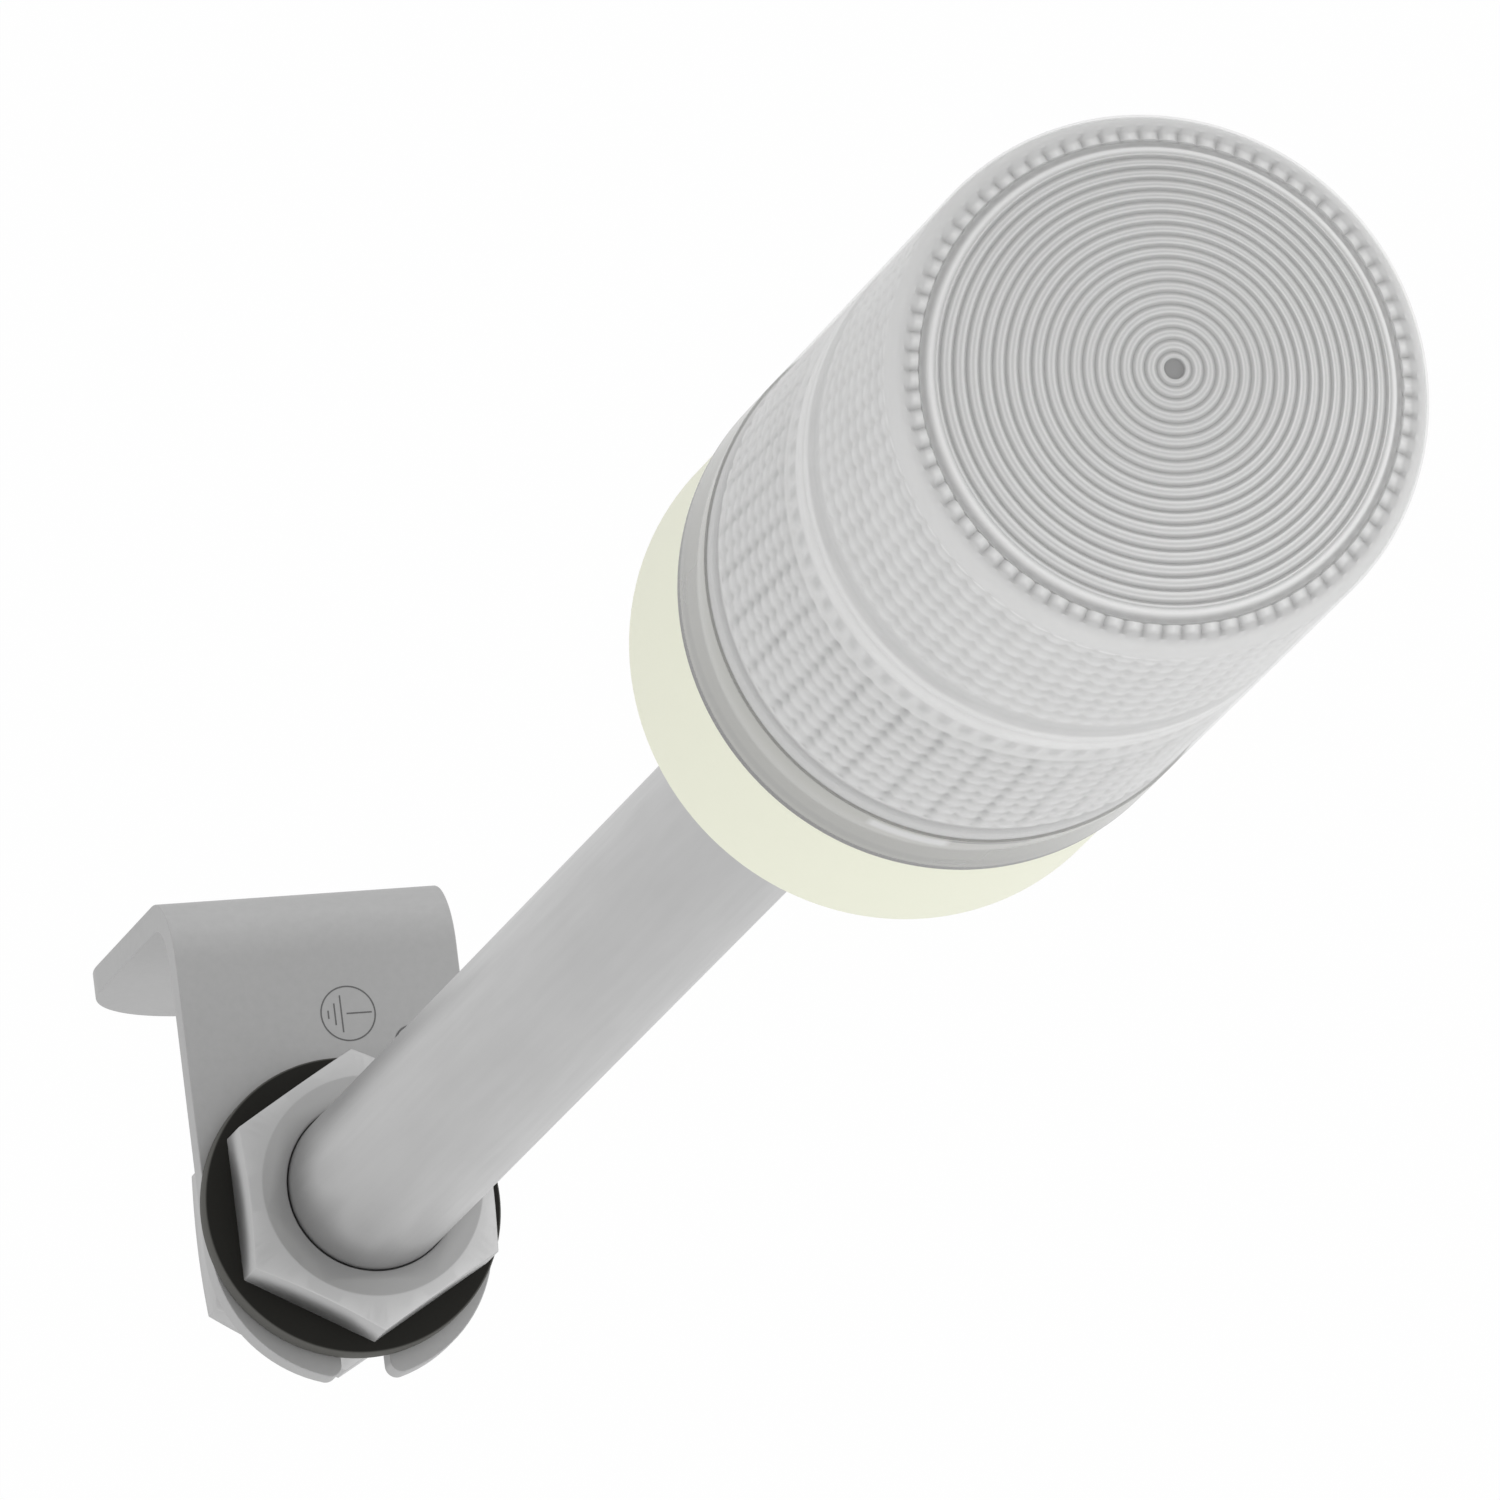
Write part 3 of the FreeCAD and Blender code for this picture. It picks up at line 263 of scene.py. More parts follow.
def spunMesh(corners, steps):
    # a closed profile of (distance from the axis, height) in mm, turned about the pole axis
    bm = bmesh.new()
    verts = [bm.verts.new((axisX + r * mm, axisY, z * mm)) for r, z in corners]
    edges = [bm.edges.new(pair) for pair in zip(verts, verts[1:] + verts[:1])]
    bmesh.ops.spin(
        bm, geom=verts + edges, cent=axis, axis=(0, 0, 1), angle=2 * math.pi, steps=steps, use_merge=True
    )
    bmesh.ops.remove_doubles(bm, verts=bm.verts, dist=1e-7)
    bmesh.ops.recalc_face_normals(bm, faces=bm.faces)
    return bm


def arc(centreR, centreZ, radius, start, end, steps):
    # points on an arc of a profile, angles in degrees from the outward direction
    points = []
    for n in range(steps + 1):
        a = math.radians(start + (end - start) * n / steps)
        points.append((centreR + radius * math.cos(a), centreZ + radius * math.sin(a)))
    return points


softenLook = {
    "mergeWithin": 2e-6,  # metres
    "flatWithin": 0.6,  # degrees, faces that lie flatter than this become one
    "sharpOver": 28,  # degrees, edges that are rounded
}


def softened(node, name, material, width, flats=False):
    # a merged copy of a CAD node with its sharp edges rounded; flats keeps its flat faces evenly lit
    bm = bmesh.new()
    bm.from_mesh(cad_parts[node].data)
    bmesh.ops.remove_doubles(bm, verts=bm.verts, dist=softenLook["mergeWithin"])
    flat, corner = math.radians(softenLook["flatWithin"]), math.radians(softenLook["sharpOver"])
    bmesh.ops.dissolve_limit(bm, angle_limit=flat, verts=bm.verts, edges=bm.edges, delimit=set())
    sharp = [e for e in bm.edges if len(e.link_faces) == 2 and e.calc_face_angle(0) > corner]
    bmesh.ops.bevel(
        bm, geom=sharp, offset=width * mm, offset_type="OFFSET", affect="EDGES", segments=2,
        profile=0.5, material=-1, clamp_overlap=True,
    )
    piece = finishedPiece(name, bm, material)
    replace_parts(piece, node)
    if flats:
        piece.modifiers.new("evenFlats", "WEIGHTED_NORMAL").keep_sharp = True


# bracket and clamp, each with how far its edges are rounded, in mm
softened("mounting_bracket", "bracketPlate", finish["steel"], 0.18, flats=True)
softened("bracket_gasket", "poleGasket", finish["rubber"], 0.3)
softened("upper_nut", "upperNut", finish["nut"], 0.12)
softened("lower_nut", "lowerNut", finish["nut"], 0.12)
softened("flat_washer", "flatWasher", finish["nut"], 0.15, flats=True)
softened("lock_washer", "springWasher", finish["nut"], 0.2, flats=True)
softened("cable_bush", "cableBush", finish["rubber"], 0.3)
print("bracket and clamp made")


# the pole, turned down at both ends and threaded at its foot; lengths in mm
poleLook = {
    "radius": (poleHigh.x - poleLow.x) / 2 / mm,
    "bore": 8.5,
    "spigot": 10.0,  # radius of the turned-down top
    "spigotStart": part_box("base_housing")[0].z / mm + 5,
    "topChamfer": 0.5,
    "footChamfer": (0.3, 0.4),
    "threadPitch": 1.5,
    "threadDepth": 0.75,
    "threadEnd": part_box("upper_nut")[1].z / mm - 1.1,  # just inside the upper nut
    "threadFade": 0.8,
    "ridgeFoot": 0.42,  # half the ridge's width at its foot, as a share of the pitch
    "ridgeTop": 0.12,  # half its width at its top
    "ridgeSunk": 0.05,  # how deep the ridge stands in the pole
    "threadStart": 0.6,
    "stepsPerTurn": 40,
}


def makePole(look):
    low, high = poleLow.z / mm, poleHigh.z / mm
    outer, bore, spigot = look["radius"], look["bore"], look["spigot"]
    root = outer - look["threadDepth"]
    end, shoulder = look["threadEnd"], look["spigotStart"]
    inward, upward = look["footChamfer"]
    chamfer = look["topChamfer"]
    corners = [
        (bore, low), (root - inward, low), (root, low + upward), (root, end),
        (outer, end + look["threadFade"]), (outer, shoulder), (spigot, shoulder),
        (spigot, high - chamfer), (spigot - chamfer, high), (bore, high),
    ]
    piece = finishedPiece("lampPole", spunMesh(corners, 128), finish["pole"])
    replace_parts(piece, "pole")

    # the thread is one ridge wound up the foot
    bm = bmesh.new()
    start = low + look["threadStart"]
    foot, tip = look["threadPitch"] * look["ridgeFoot"], look["ridgeTop"]
    sunk = root - look["ridgeSunk"]
    ridge = [(sunk, start - foot), (outer, start - tip), (outer, start + tip), (sunk, start + foot)]
    verts = [bm.verts.new((axisX + r * mm, axisY, z * mm)) for r, z in ridge]
    face = bm.faces.new(verts)
    turns = (end - start) / look["threadPitch"]
    steps = int(turns * look["stepsPerTurn"])
    rise = look["threadPitch"] * mm / look["stepsPerTurn"]
    bmesh.ops.spin(
        bm, geom=[face] + list(face.edges) + verts, cent=axis, axis=(0, 0, 1), dvec=(0, 0, rise),
        angle=2 * math.pi * steps / look["stepsPerTurn"], steps=steps, use_merge=False,
    )
    bmesh.ops.holes_fill(bm, edges=[e for e in bm.edges if e.is_boundary], sides=4)
    bmesh.ops.recalc_face_normals(bm, faces=bm.faces)
    finishedPiece("footThread", bm, finish["nut"])


makePole(poleLook)
softened("base_housing", "baseHousing", finish["cream"], 0.2, flats=True)
print("pole and base made")


# the earth sign, engraved beside the stud, and the ring round the stud's head; lengths in mm
signLook = {
    "centre": (3.2, 25.7),  # from the pole axis
    "radius": 3.55,
    "stroke": 0.2,
    "height": 0.02,
    "bars": ((-0.87, 4.87), (-1.73, 2.85), (-2.6, 1.1)),  # place along X, and length
    "stem": (-0.2, 3.12),  # its two ends along X
    "studRing": 0.22,
}


def flatRing(bm, x, y, z, radius, width, steps):
    # a thin flat ring about the point, all in mm
    inner, outer = radius - width / 2, radius + width / 2
    corners = [(inner, 0), (outer, 0), (outer, 1), (inner, 1)]
    verts = [bm.verts.new(((x + r) * mm, y * mm, (z + up * signLook["height"]) * mm)) for r, up in corners]
    edges = [bm.edges.new(pair) for pair in zip(verts, verts[1:] + verts[:1])]
    bmesh.ops.spin(
        bm, geom=verts + edges, cent=(x * mm, y * mm, 0), axis=(0, 0, 1), angle=2 * math.pi, steps=steps,
        use_merge=True,
    )


def flatStroke(bm, x, y, z, long, wide):
    # a thin flat bar, long along X and wide along Y, centred on the point, all in mm
    size = Vector((long, wide, signLook["height"])) * mm
    place = Vector((x, y, z + signLook["height"] / 2)) * mm
    bmesh.ops.create_cube(bm, size=1, matrix=Matrix.LocRotScale(place, None, size))


def makeEarthSign(look):
    bm = bmesh.new()
    x, y = axisX / mm + look["centre"][0], axisY / mm + look["centre"][1]
    z = plateTop / mm
    flatRing(bm, x, y, z, look["radius"], look["stroke"], 64)
    for dx, length in look["bars"]:
        flatStroke(bm, x + dx, y, z, look["stroke"], length)
    left, right = look["stem"]
    flatStroke(bm, x + (left + right) / 2, y, z, right - left, look["stroke"])
    low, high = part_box("earth_stud")
    studX, studY = (low.x + high.x) / 2 / mm, (low.y + high.y) / 2 / mm
    flatRing(bm, studX, studY, z, (high.x - low.x) / 2 / mm, look["studRing"], 32)
    bmesh.ops.remove_doubles(bm, verts=bm.verts, dist=1e-7)
    bmesh.ops.recalc_face_normals(bm, faces=bm.faces)
    finishedPiece("earthSign", bm, finish["ink"])


makeEarthSign(signLook)
print("earth sign made")


# the lens: a clear skin with a thick foot, over a layer of moulded prisms
# lengths in mm: levels above the lens's own foot, and distances from its axis or in from its side
lensLook = {
    "wall": 2.4,
    "skin": 0.25,
    "layerGap": 0.1,
    "domeRadius": 75.5,
    "shoulder": 5.0,
    "foot": 14.3,
    "footEdge": 0.25,
    "footGap": 0.02,  # between the foot and what is above it
    "around": 192,  # steps of the smooth turns
    "columns": 72,
    "rowPitch": 3.74,
    "rows": 9,
    "lowerRows": 18.8,  # where the two fields of rows start
    "upperRows": 70.8,
    "prism": ((0.6, 0.0), (0.15, 0.22), (0.0, 0.5), (0.15, 0.78)),  # distance in, and share of the pitch
    "rowEnd": 0.1,
    "cellDepth": 0.35,  # dents between the columns
    "ledge": ((0.0, 17.2), (0.5, 17.6)),  # distance in, and level
    "dotBand": ((0.0, 54.4), (0.35, 55.2), (0.35, 59.4), (0.0, 60.2)),
    "rib": ((0.0, 63.5), (0.3, 63.8), (0.0, 64.1)),
    "strip": ((0.0, 66.7), (0.5, 67.0), (0.5, 69.8)),
    "rimLip": 0.6,
    "rimGap": 0.05,  # between the wall's layer and the dome's
    "ringPitch": 1.455,
    "firstRing": 2.08,
    "ringDepth": 0.9,
    "rimDrop": 0.4,  # how much deeper the rings lie at rimRadius than in the middle
    "rimRadius": 27,
    "rings": 18,
    "ring": ((0.36, 0.03), (0.03, 0.26), (-0.3, 0.03), (-0.65, -0.06)),  # from the ring's radius, and depth
    "toothLedge": ((31.0, -0.6), (30.5, -0.2), (30.1, -0.1), (29.3, -0.1), (29.05, 0.45), (28.45, 0.5)),
    "rimRing": ((28.2, -0.15), (27.6, -0.15), (27.4, 0.0)),
    "middle": ((1.15, 0.5), (0.0, 0.6)),
    "middleEdge": 1.3,
    "under": (0, 10, 20, 28),  # points of the smooth underside
    "underGap": 0.2,
    "underEdge": 0.4,
    "teeth": 80,
    "toothBand": (29.2, 30.6),
    "toothDepth": 0.5,
    "lugLevel": 10.4,
    "lugHeight": 3.0,
    "lugReach": 1.6,
    "lugSunk": 0.02,  # how deep a lug stands in the foot's wall
    "lugAngle": 249.5,  # degrees
    "lugTurn": 17,
    "lugs": 3,
}
lensHeight = lensTop - lensFoot


def lensOutline(offset, look):
    # the smooth outside of the lens, moved in by the offset: wall, shoulder, dome
    radius = lensRadius - offset
    dome = look["domeRadius"] - offset
    turnRadius = look["shoulder"] - offset
    centre = lensHeight - look["domeRadius"]
    x = radius - turnRadius
    z = centre + math.sqrt((dome - turnRadius) ** 2 - x * x)
    lean = math.degrees(math.atan2(z - centre, x))
    shoulder = arc(x, z, turnRadius, 0, lean, steps=10)
    return shoulder + arc(0, centre, dome, lean, 90, steps=24)[1:]


def domeHeight(r, offset, look):
    # level of the dome, moved in by the offset, at the distance r from the axis
    centre = lensHeight - look["domeRadius"]
    return centre + math.sqrt((look["domeRadius"] - offset) ** 2 - r * r)


def lensSkinMaterial():
    # nearly clear where it faces the eye, greyer where it is seen edge on
    skin = Finish("clearPlastic", IOR=1.49, Specular_IOR_Level=0.2)
    cloud = skin.noise(scale=30, detail=2)
    skin.put("Base Color", skin.blend(cloud, shade(0.57), shade(0.63)))
    facing = skin.node("ShaderNodeLayerWeight", inputs={"Blend": 0.35}, output="Facing")
    skin.put("Alpha", facing * facing * 0.32 + 0.05)
    skin.put("Roughness", cloud * 0.06 + 0.15)
    return skin.material


# painted bands of the foot: from, to and softness, in mm from its lower end
# the seam's painted shade and the dashes, a painted highlight and a painted shade, are measured from its top
footShade = {
    "darker": (0.375, 0.375, 0.345),
    "paler": (0.415, 0.415, 0.385),
    # painted shade along the foot's lower edge
    "edge": (-1, 1.6, 0.2),
    "seal": (2.9, 4.9, 0.5),
    # painted shade at the seam between the foot and the skin
    "seamShade": (-0.35, 1, 0.1),
    # a painted highlight and a painted shade along the bayonet groove
    "highlightDash": (-3.2, -0.9, 0.5),
    "shadeDash": (-0.9, -0.3, 0.2),
    "dashEnds": 0.8,  # softness of a dash's ends, in degrees
}


def lensFootMaterial(look, bands):
    # the grey collar close behind shows through; the bayonet groove reads as a light and a dark dash, a
    # painted highlight and a painted shade, and painted shade darkens the seam and the lower edge
    foot = Finish("clearFoot", IOR=1.49)
    angle, z = foot.split()[1:]
    z = z - lensFoot
    down = z - look["foot"]
    cloud = foot.noise(scale=30, detail=2)
    # degrees from the middle of the nearest lug
    share = 360 / look["lugs"]
    turned = (((angle - (look["lugAngle"] - 360)) / share + 0.5).do("FRACT") - 0.5) * share
    half, ends = look["lugTurn"] / 2, bands["dashEnds"]
    # painted highlight and painted shade along the bayonet groove, one dash each
    paintedHighlight = foot.between(turned, -half, half, ends) * foot.between(down, *bands["highlightDash"])
    dark = foot.between(turned, half, half * 3, ends) * foot.between(down, *bands["shadeDash"])
    seamShade, seal = foot.between(down, *bands["seamShade"]), foot.between(z, *bands["seal"])
    colour = foot.blend(paintedHighlight, foot.blend(cloud, bands["darker"], bands["paler"]), shade(0.6))
    colour = foot.blend(dark * 0.8 + seamShade * 0.12 + seal * 0.22, colour, shade(0.16))
    # painted shade along the lower edge
    foot.put("Base Color", foot.blend(foot.between(z, *bands["edge"]), colour, shade(0.13)))
    foot.put("Alpha", cloud * 0.06 + 0.88)
    foot.put("Roughness", cloud * 0.06 + 0.12)
    return foot.material


# painted bands of the wall: from, to and softness in mm above the lens's lower end, and strength
wallShade = {
    "plain": 0.725,
    "dots": (55.4, 59.0, 0.9, 1.3),
    "strip": (66.8, 70.2, 0.5, 0.95),
    "underRows": (0, 18.3, 0.3, 1.1),
    # painted shade in lines at the rib's groove, the ledge and the seam
    "ribShade": (63.8, 0.4, 0.5),  # a line has its middle, width and strength
    "ledgeShade": (17.6, 0.45, 1.0),
    "seamShadeLine": (14.6, 0.4, 0.3),
    "besideRib": (59.8, 66.0, 0.6),
    "shoulder": (104.46, 120, 0.6, 1.2),
}


def wallMaterial(look, bands):
    # dark and light add up how much each row, column, band and line takes from or gives to the plain shade;
    # the dark in the grooves between the prisms and in the lines at the rib, ledge and seam is painted shade,
    # and the light on the cells between the grooves is painted highlight
    wall = Finish("frostedWall", IOR=1.49, Specular_IOR_Level=0.2)
    trueAngle, trueZ = wall.split()[1:]
    trueZ = trueZ - lensFoot
    lower, upper = look["lowerRows"], look["upperRows"]
    field = look["rows"] * look["rowPitch"]
    column = 360 / look["columns"]
    wobble = wall.noise(scale=110)
    cloud = wall.noise(scale=26)
    patchy = wall.noise(scale=55, detail=2)
    # the rows and columns wander a little
    z = trueZ + (wobble - 0.5) * 1.3
    angle = trueAngle + (wall.noise(scale=140, detail=2) - 0.5) * 1.8
    columns = wall.wave(angle, column, 0)
    lowRows = wall.wave(z, look["rowPitch"], lower)
    highRows = wall.wave(z, look["rowPitch"], upper)
    lowField = wall.between(trueZ, lower, lower + field, 0.3)
    highField = wall.between(trueZ, upper, upper + field, 0.3)
    # painted shade where the prisms' grooves cross and along them, darker at every second column
    crossing = lowRows * columns
    darkColumns = wall.comb(angle, column * 2, 0, 1.6) * patchy
    dark = lowField * (crossing * crossing * 0.9 + lowRows * 0.3 + darkColumns * 1.2 + 0.5)
    dark = dark + highField * (highRows * 0.3 + highRows * columns * 0.45 + wobble * 0.4)
    dark = dark + wall.between(z, *bands["dots"]) * wall.wave(angle, column, column / 2)
    dark = dark + wall.between(z, *bands["strip"]) + wall.between(trueZ, *bands["underRows"])
    # painted shade in the rib's groove, at the ledge and at the seam
    for name in ("ribShade", "ledgeShade", "seamShadeLine"):
        dark = dark + wall.line(trueZ, *bands[name])
    # painted highlights on the cells between the grooves
    light = lowField * (1 - lowRows) * (1 - columns) * 0.45
    light = light + highField * (1 - highRows) * (1 - columns) * 0.4
    light = light + wall.between(z, *bands["besideRib"]) * (patchy * 1.4 - 0.2)
    light = light + wall.between(trueZ, *bands["shoulder"])
    level = (cloud * 0.06 + bands["plain"]) - dark * 0.15 + light * 0.1
    wall.put("Base Color", wall.tinted(level))
    wall.put("Roughness", cloud * 0.1 + 0.4)
    wall.bump(dark - light, strength=0.5, distance=0.0003)
    return wall.material


# painted bands of the dome: from, to and softness in mm from the axis, and strength
domeShade = {
    "plain": 0.69,
    "rings": (1.6, 27.35, 0.1),
    "middle": (-2, 1.26, 0.07, 1.9),
    # painted shade in the moat and between the teeth
    "moatShade": (28.4, 29.0, 0.2, 0.9),
    "toothGapShade": (29.1, 30.4, 0.35, 0.65),
    # painted highlights on the rim ring and the teeth
    "rimRing": (27.6, 28.2, 0.15, 2.0),
    "teeth": (29.25, 30.1, 0.2, 1.75),
    "shoulder": (31.0, 32.8, 0.8, 0.1),
}


def domeMaterial(look, bands):
    # a dark groove and two light flanks to each ring, and a dark gap between every two teeth: the dark is
    # painted shade in these grooves, gaps and the moat, and the light is painted highlight on the flanks, the
    # teeth and the rim ring
    dome = Finish("frostedDome", IOR=1.49, Specular_IOR_Level=0.2)
    radius, angle = dome.split()[:2]
    pitch, first = look["ringPitch"], look["firstRing"]
    tooth = 360 / look["teeth"]
    cloud = dome.noise(scale=45)
    streak = dome.noise(scale=24, detail=2)
    radius = radius + (streak - 0.5) * 0.14
    onRings = dome.between(radius, *bands["rings"])
    # painted shade in each ring's groove and painted highlights on its flanks
    grooveShade = dome.comb(radius, pitch, first + 0.03, 0.42)
    flankHighlight = dome.comb(radius, pitch, first + 0.5, 0.22)
    flankHighlight = flankHighlight + dome.comb(radius, pitch, first + 1.0, 0.22) * streak * 1.8
    dark = onRings * (grooveShade * 1.1 + cloud * 0.3)
    dark = dark + dome.between(radius, *bands["middle"]) + dome.between(radius, *bands["moatShade"])
    # painted shade in the moat and between the teeth
    dark = dark + dome.between(radius, *bands["toothGapShade"]) * dome.comb(angle, tooth, tooth / 2, 1.1)
    light = onRings * flankHighlight * 1.7
    # painted highlights on the rim ring and the teeth
    light = light + dome.between(radius, *bands["rimRing"]) + dome.between(radius, *bands["shoulder"])
    light = light + dome.between(radius, *bands["teeth"]) * dome.comb(angle, tooth, 0, 1.7)
    level = (streak * 0.05 + bands["plain"]) - dark * 0.18 + light * 0.1
    dome.put("Base Color", dome.tinted(level))
    dome.put("Roughness", cloud * 0.1 + 0.4)
    dome.bump(light - dark, strength=0.25, distance=0.0002)
    return dome.material


stepsEach = 4  # steps of the turn in each column of prisms and in each tooth


def lensPiece(name, profile, steps, material, sharp=50, cut=None):
    # a profile turned about the axis; cut may then move its vertices
    bm = spunMesh([(r, z + lensFoot) for r, z in profile], steps)
    if cut:
        for v in bm.verts:
            x, y = v.co.x - axisX, v.co.y - axisY
            step = round(math.atan2(y, x) / (2 * math.pi) * steps) % stepsEach
            cut(v, math.hypot(x, y) / mm, v.co.z / mm - lensFoot, step)
    return finishedPiece(name, bm, material, sharp)


def makeSkin(look):
    # thin clear skin above the foot, and the foot's full wall below it
    foot, edge = look["foot"], look["footEdge"]
    inside = lensRadius - look["wall"]
    thin = lensOutline(look["skin"], look)
    loop = [(lensRadius, foot)] + lensOutline(0, look) + thin[::-1] + [(thin[0][0], foot)]
    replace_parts(lensPiece("lensSkin", loop, look["around"], lensSkinMaterial()), "outer_lens")
    top = foot - look["footGap"]
    ring = [(inside, 0), (lensRadius - edge, 0), (lensRadius, edge), (lensRadius, top), (inside, top)]
    lensPiece("lensFoot", ring, look["around"], lensFootMaterial(look, footShade))


def makeWallPrisms(look, wall, rim):
    # rows of prisms in two fields, and between them a row of dots, a rib and a plain strip
    pitch, rows = look["rowPitch"], look["rows"]
    lower, upper = look["lowerRows"], look["upperRows"]
    inside = lensRadius - look["wall"]
    start = look["foot"] + look["footGap"]

    def rowsFrom(level):
        levels = [level + row * pitch for row in range(rows)]
        field = [(wall - deep, z + pitch * share) for z in levels for deep, share in look["prism"]]
        return field + [(wall - look["prism"][0][0], level + rows * pitch - look["rowEnd"])]

    bands = look["dotBand"] + look["rib"] + look["strip"]
    profile = [(inside, start), (wall, start)] + [(wall - deep, z) for deep, z in look["ledge"]]
    profile += rowsFrom(lower) + [(wall - deep, z) for deep, z in bands] + rowsFrom(upper)
    profile += [(wall, rim - look["rimLip"]), (wall, rim), (inside, rim)]
    dotLow, dotHigh = look["dotBand"][1][1] - 0.1, look["dotBand"][2][1] + 0.1

    def cutCell(v, r, z, step):
        # a dent between every two columns, on the outer side only
        inCells = lower < z < lower + rows * pitch or dotLow < z < dotHigh or upper < z < upper + rows * pitch
        if inCells and r > inside + 0.5 and step == 0:
            v.co.x -= (v.co.x - axisX) / r * look["cellDepth"]
            v.co.y -= (v.co.y - axisY) / r * look["cellDepth"]

    steps = look["columns"] * stepsEach
    lensPiece("lensPrisms", profile, steps, wallMaterial(look, wallShade), sharp=60, cut=cutCell)


def makeDomeRings(look, gap, rim):
    # rounded shoulder, toothed ledge and the rings inside it, closed by a smooth underside
    inside = lensRadius - look["wall"]
    ledge = look["toothLedge"] + look["rimRing"]
    bandStart, bandEnd = look["toothBand"]

    def ringHeight(r, depth):
        # the rings lie deeper in the dome towards its rim
        deeper = look["rimDrop"] * (r / look["rimRadius"]) ** 2
        return domeHeight(r, look["ringDepth"] + deeper + depth, look)

    profile = [(inside, rim)] + [p for p in lensOutline(gap, look) if p[0] > ledge[0][0] + 0.5]
    profile += [(r, ringHeight(r, depth)) for r, depth in ledge]
    for n in reversed(range(look["rings"])):
        r = look["firstRing"] + look["ringPitch"] * n
        profile += [(r + out, ringHeight(r, depth)) for out, depth in look["ring"]]
    edge, under = look["middleEdge"], look["wall"] + look["underGap"]
    profile += [(edge, ringHeight(edge, 0))] + [(r, ringHeight(0, depth)) for r, depth in look["middle"]]
    profile += [(r, domeHeight(r, under, look)) for r in look["under"]] + [(inside - look["underEdge"], rim)]

    def cutTooth(v, r, z, step):
        # a gap between every two teeth
        if step == 2 and bandStart < r < bandEnd and z > ringHeight(r, 0.2):
            v.co.z -= look["toothDepth"] * mm

    steps = look["teeth"] * stepsEach
    lensPiece("lensDome", profile, steps, domeMaterial(look, domeShade), sharp=60, cut=cutTooth)


def makeLugs(look):
    # bayonet lugs on the inside of the lens foot
    bm = bmesh.new()
    outer = lensRadius - look["wall"] + look["lugSunk"]
    inner = outer - look["lugReach"]
    low = lensFoot + look["lugLevel"]
    high = low + look["lugHeight"]
    corners = [(inner, low), (outer, low), (outer, high), (inner, high)]
    for n in range(look["lugs"]):
        start = math.radians(look["lugAngle"] - look["lugTurn"] / 2 + 360 * n / look["lugs"])
        way = Vector((math.cos(start), math.sin(start), 0))
        verts = [bm.verts.new(axis + way * r * mm + Vector((0, 0, z * mm))) for r, z in corners]
        face = bm.faces.new(verts)
        bmesh.ops.spin(
            bm, geom=[face] + list(face.edges) + verts, cent=axis, axis=(0, 0, 1),
            angle=math.radians(look["lugTurn"]), steps=8, use_merge=False,
        )
    bmesh.ops.holes_fill(bm, edges=[e for e in bm.edges if e.is_boundary], sides=4)
    bmesh.ops.recalc_face_normals(bm, faces=bm.faces)
    finishedPiece("lensLugs", bm, finish["white"])


layerGap = lensLook["skin"] + lensLook["layerGap"]
rimLevel = lensOutline(layerGap, lensLook)[0][1]
makeSkin(lensLook)
makeWallPrisms(lensLook, lensRadius - layerGap, rimLevel - lensLook["rimGap"])
makeDomeRings(lensLook, layerGap, rimLevel)
makeLugs(lensLook)
print("lens made")


# the inner pieces keep their CAD shapes
def cloudyFinish(name, roughness, scale, first, second):
    # two close colours in soft clouds
    cloudy = Finish(name, Roughness=roughness)
    cloudy.put("Base Color", cloudy.blend(cloudy.noise(scale=scale, detail=2), first, second))
    return cloudy.material


board = cloudyFinish("whiteBoard", 0.4, 40, (0.70, 0.72, 0.70), (0.78, 0.80, 0.77))
chip = cloudyFinish("lightChip", 0.3, 300, (0.80, 0.62, 0.12), (0.85, 0.74, 0.30))
innerFinish = {
    "pole_seal": finish["rubber"],
    "lens_seal": finish["seal"],
    "pole_top_nut": finish["nut"],
    "base_chassis": finish["grey"],
    "chassis_screws": finish["nut"],
    "driver_screws": finish["nut"],
    "earth_stud": finish["nut"],
    "driver_components": finish["black"],
    "post_screws": finish["nut"],
    "top_screw": finish["nut"],
    "light_post": finish["white"],
    "terminal_block": finish["green"],
    "driver_board": board,
}


def innerMaterial(node):
    # boards and chips are many, and known by how their names start
    if node.startswith("led_board"):
        return board
    if node.startswith("led_chips"):
        return chip
    return innerFinish.get(node)


for node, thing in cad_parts.items():
    material = innerMaterial(node)
    if material:
        thing.data.materials.clear()
        thing.data.materials.append(material)
print("inner pieces finished")


# floor, light and camera
floorLook = {
    "size": 6,
    "level": -0.45,  # metres
    "shade": (0.95, 0.95, 0.95, 1),
    "glow": 0.96,  # how far the floor is plain white to the eye; the rest keeps the shadow
}
lightLook = {
    "side": 1.39,  # strength from the sides, and from straight above
    "top": 0.65,
    "lean": (0.12, -0.12, 0),  # a little more from this direction
}
cameraLook = {
    "side": (0.96609, -0.12060, 0.22831),
    "up": (0.06586, 0.97007, 0.23371),
    "back": (-0.24966, -0.21075, 0.94512),
    "place": (-1.1671, axisY - 0.9795, plateTop + 4.6462),
    "lens": 918.94,
    "sensor": 36,
}


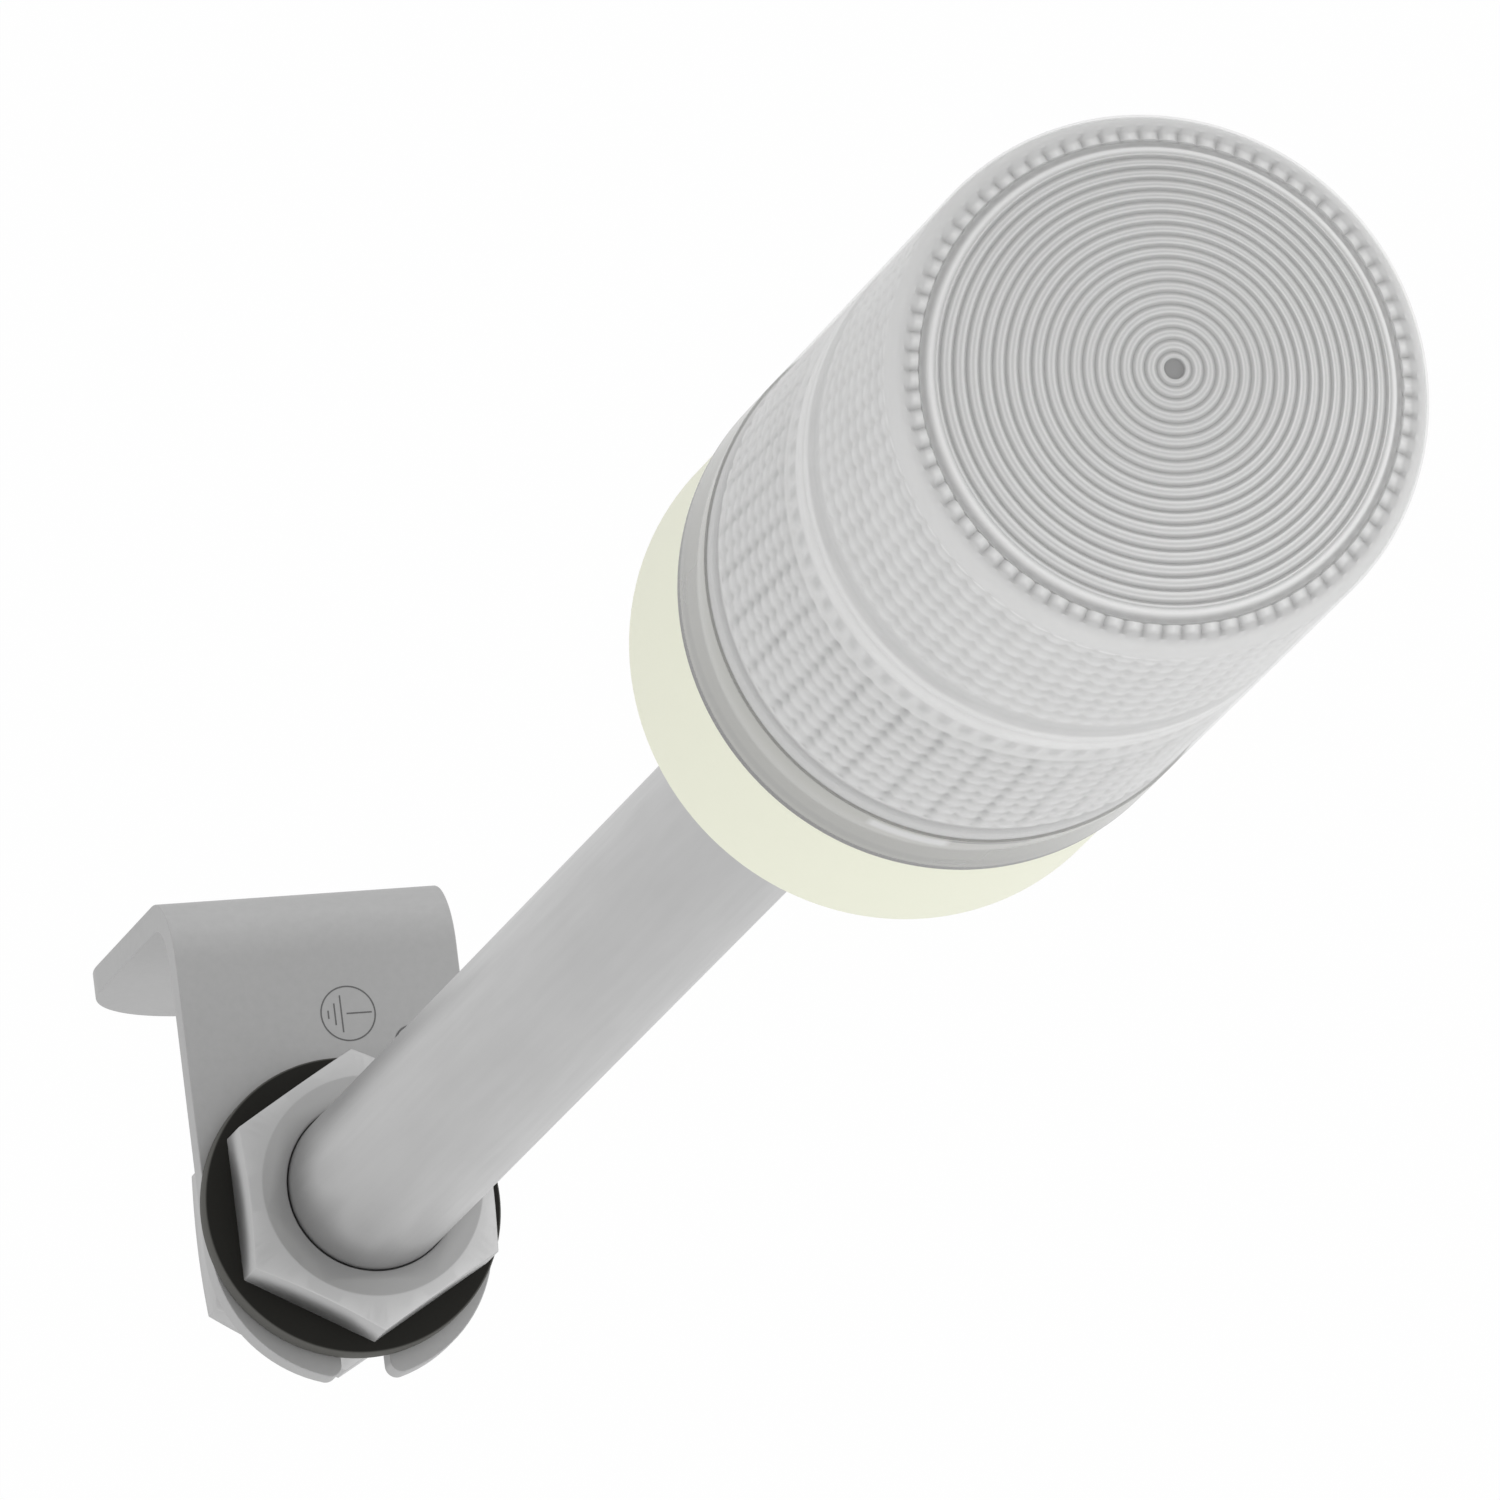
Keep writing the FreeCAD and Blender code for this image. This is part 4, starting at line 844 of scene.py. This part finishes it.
def makeFloor(look):
    bm = bmesh.new()
    under = Matrix.Translation((0, 0, look["level"]))
    bmesh.ops.create_grid(bm, x_segments=1, y_segments=1, size=look["size"], matrix=under)
    mesh = bpy.data.meshes.new("studioFloor")
    bm.to_mesh(mesh)
    bm.free()
    floor = bpy.data.objects.new("studioFloor", mesh)
    bpy.context.scene.collection.objects.link(floor)
    paper = Finish("floorPaper", Roughness=0.9, Base_Color=look["shade"])
    seen = paper.node("ShaderNodeLightPath", output="Is Camera Ray")
    for ray in ("Is Glossy Ray", "Is Transmission Ray"):
        seen = seen.do("MAXIMUM", paper.node("ShaderNodeLightPath", output=ray))
    glow = paper.node("ShaderNodeEmission", inputs={"Color": (1, 1, 1, 1), "Strength": 1.0})
    plain = Link(paper, paper.shader.outputs["BSDF"])
    mix = paper.node("ShaderNodeMixShader", inputs=[seen * look["glow"], plain, glow])
    paper.join(mix, paper.tree.nodes["Material Output"].inputs["Surface"])
    mesh.materials.append(paper.material)


def makeLight(look):
    # a soft white room, brighter round the sides than overhead
    world = bpy.data.worlds.new("softRoom")
    bpy.context.scene.world = world
    world.use_nodes = True
    room = Recipe(world.node_tree)
    where = room.node("ShaderNodeTexCoord", output="Generated")
    rise = room.node("ShaderNodeSeparateXYZ", inputs=[where], output="Z")
    fade = room.ramp(rise, 0.0, 1.0, look["side"], look["top"])
    lean = room.node("ShaderNodeVectorMath", {"operation": "DOT_PRODUCT"}, [where, look["lean"]], "Value")
    background = room.tree.nodes["Background"]
    background.inputs["Color"].default_value = (1, 1, 1, 1)
    room.join(fade * (lean + 1), background.inputs["Strength"])


def makeCamera(look):
    # far away and above, on the lamp's left
    data = bpy.data.cameras.new("mainCamera")
    data.lens = look["lens"]
    data.sensor_width = look["sensor"]
    data.clip_end = 20
    camera = bpy.data.objects.new("mainCamera", data)
    turn = Matrix((look["side"], look["up"], look["back"])).transposed().to_4x4()
    camera.matrix_world = Matrix.Translation(look["place"]) @ turn
    bpy.context.scene.collection.objects.link(camera)
    bpy.context.scene.camera = camera


makeFloor(floorLook)
makeLight(lightLook)
makeCamera(cameraLook)
bpy.context.scene.view_settings.view_transform = "Standard"
print("stage made")
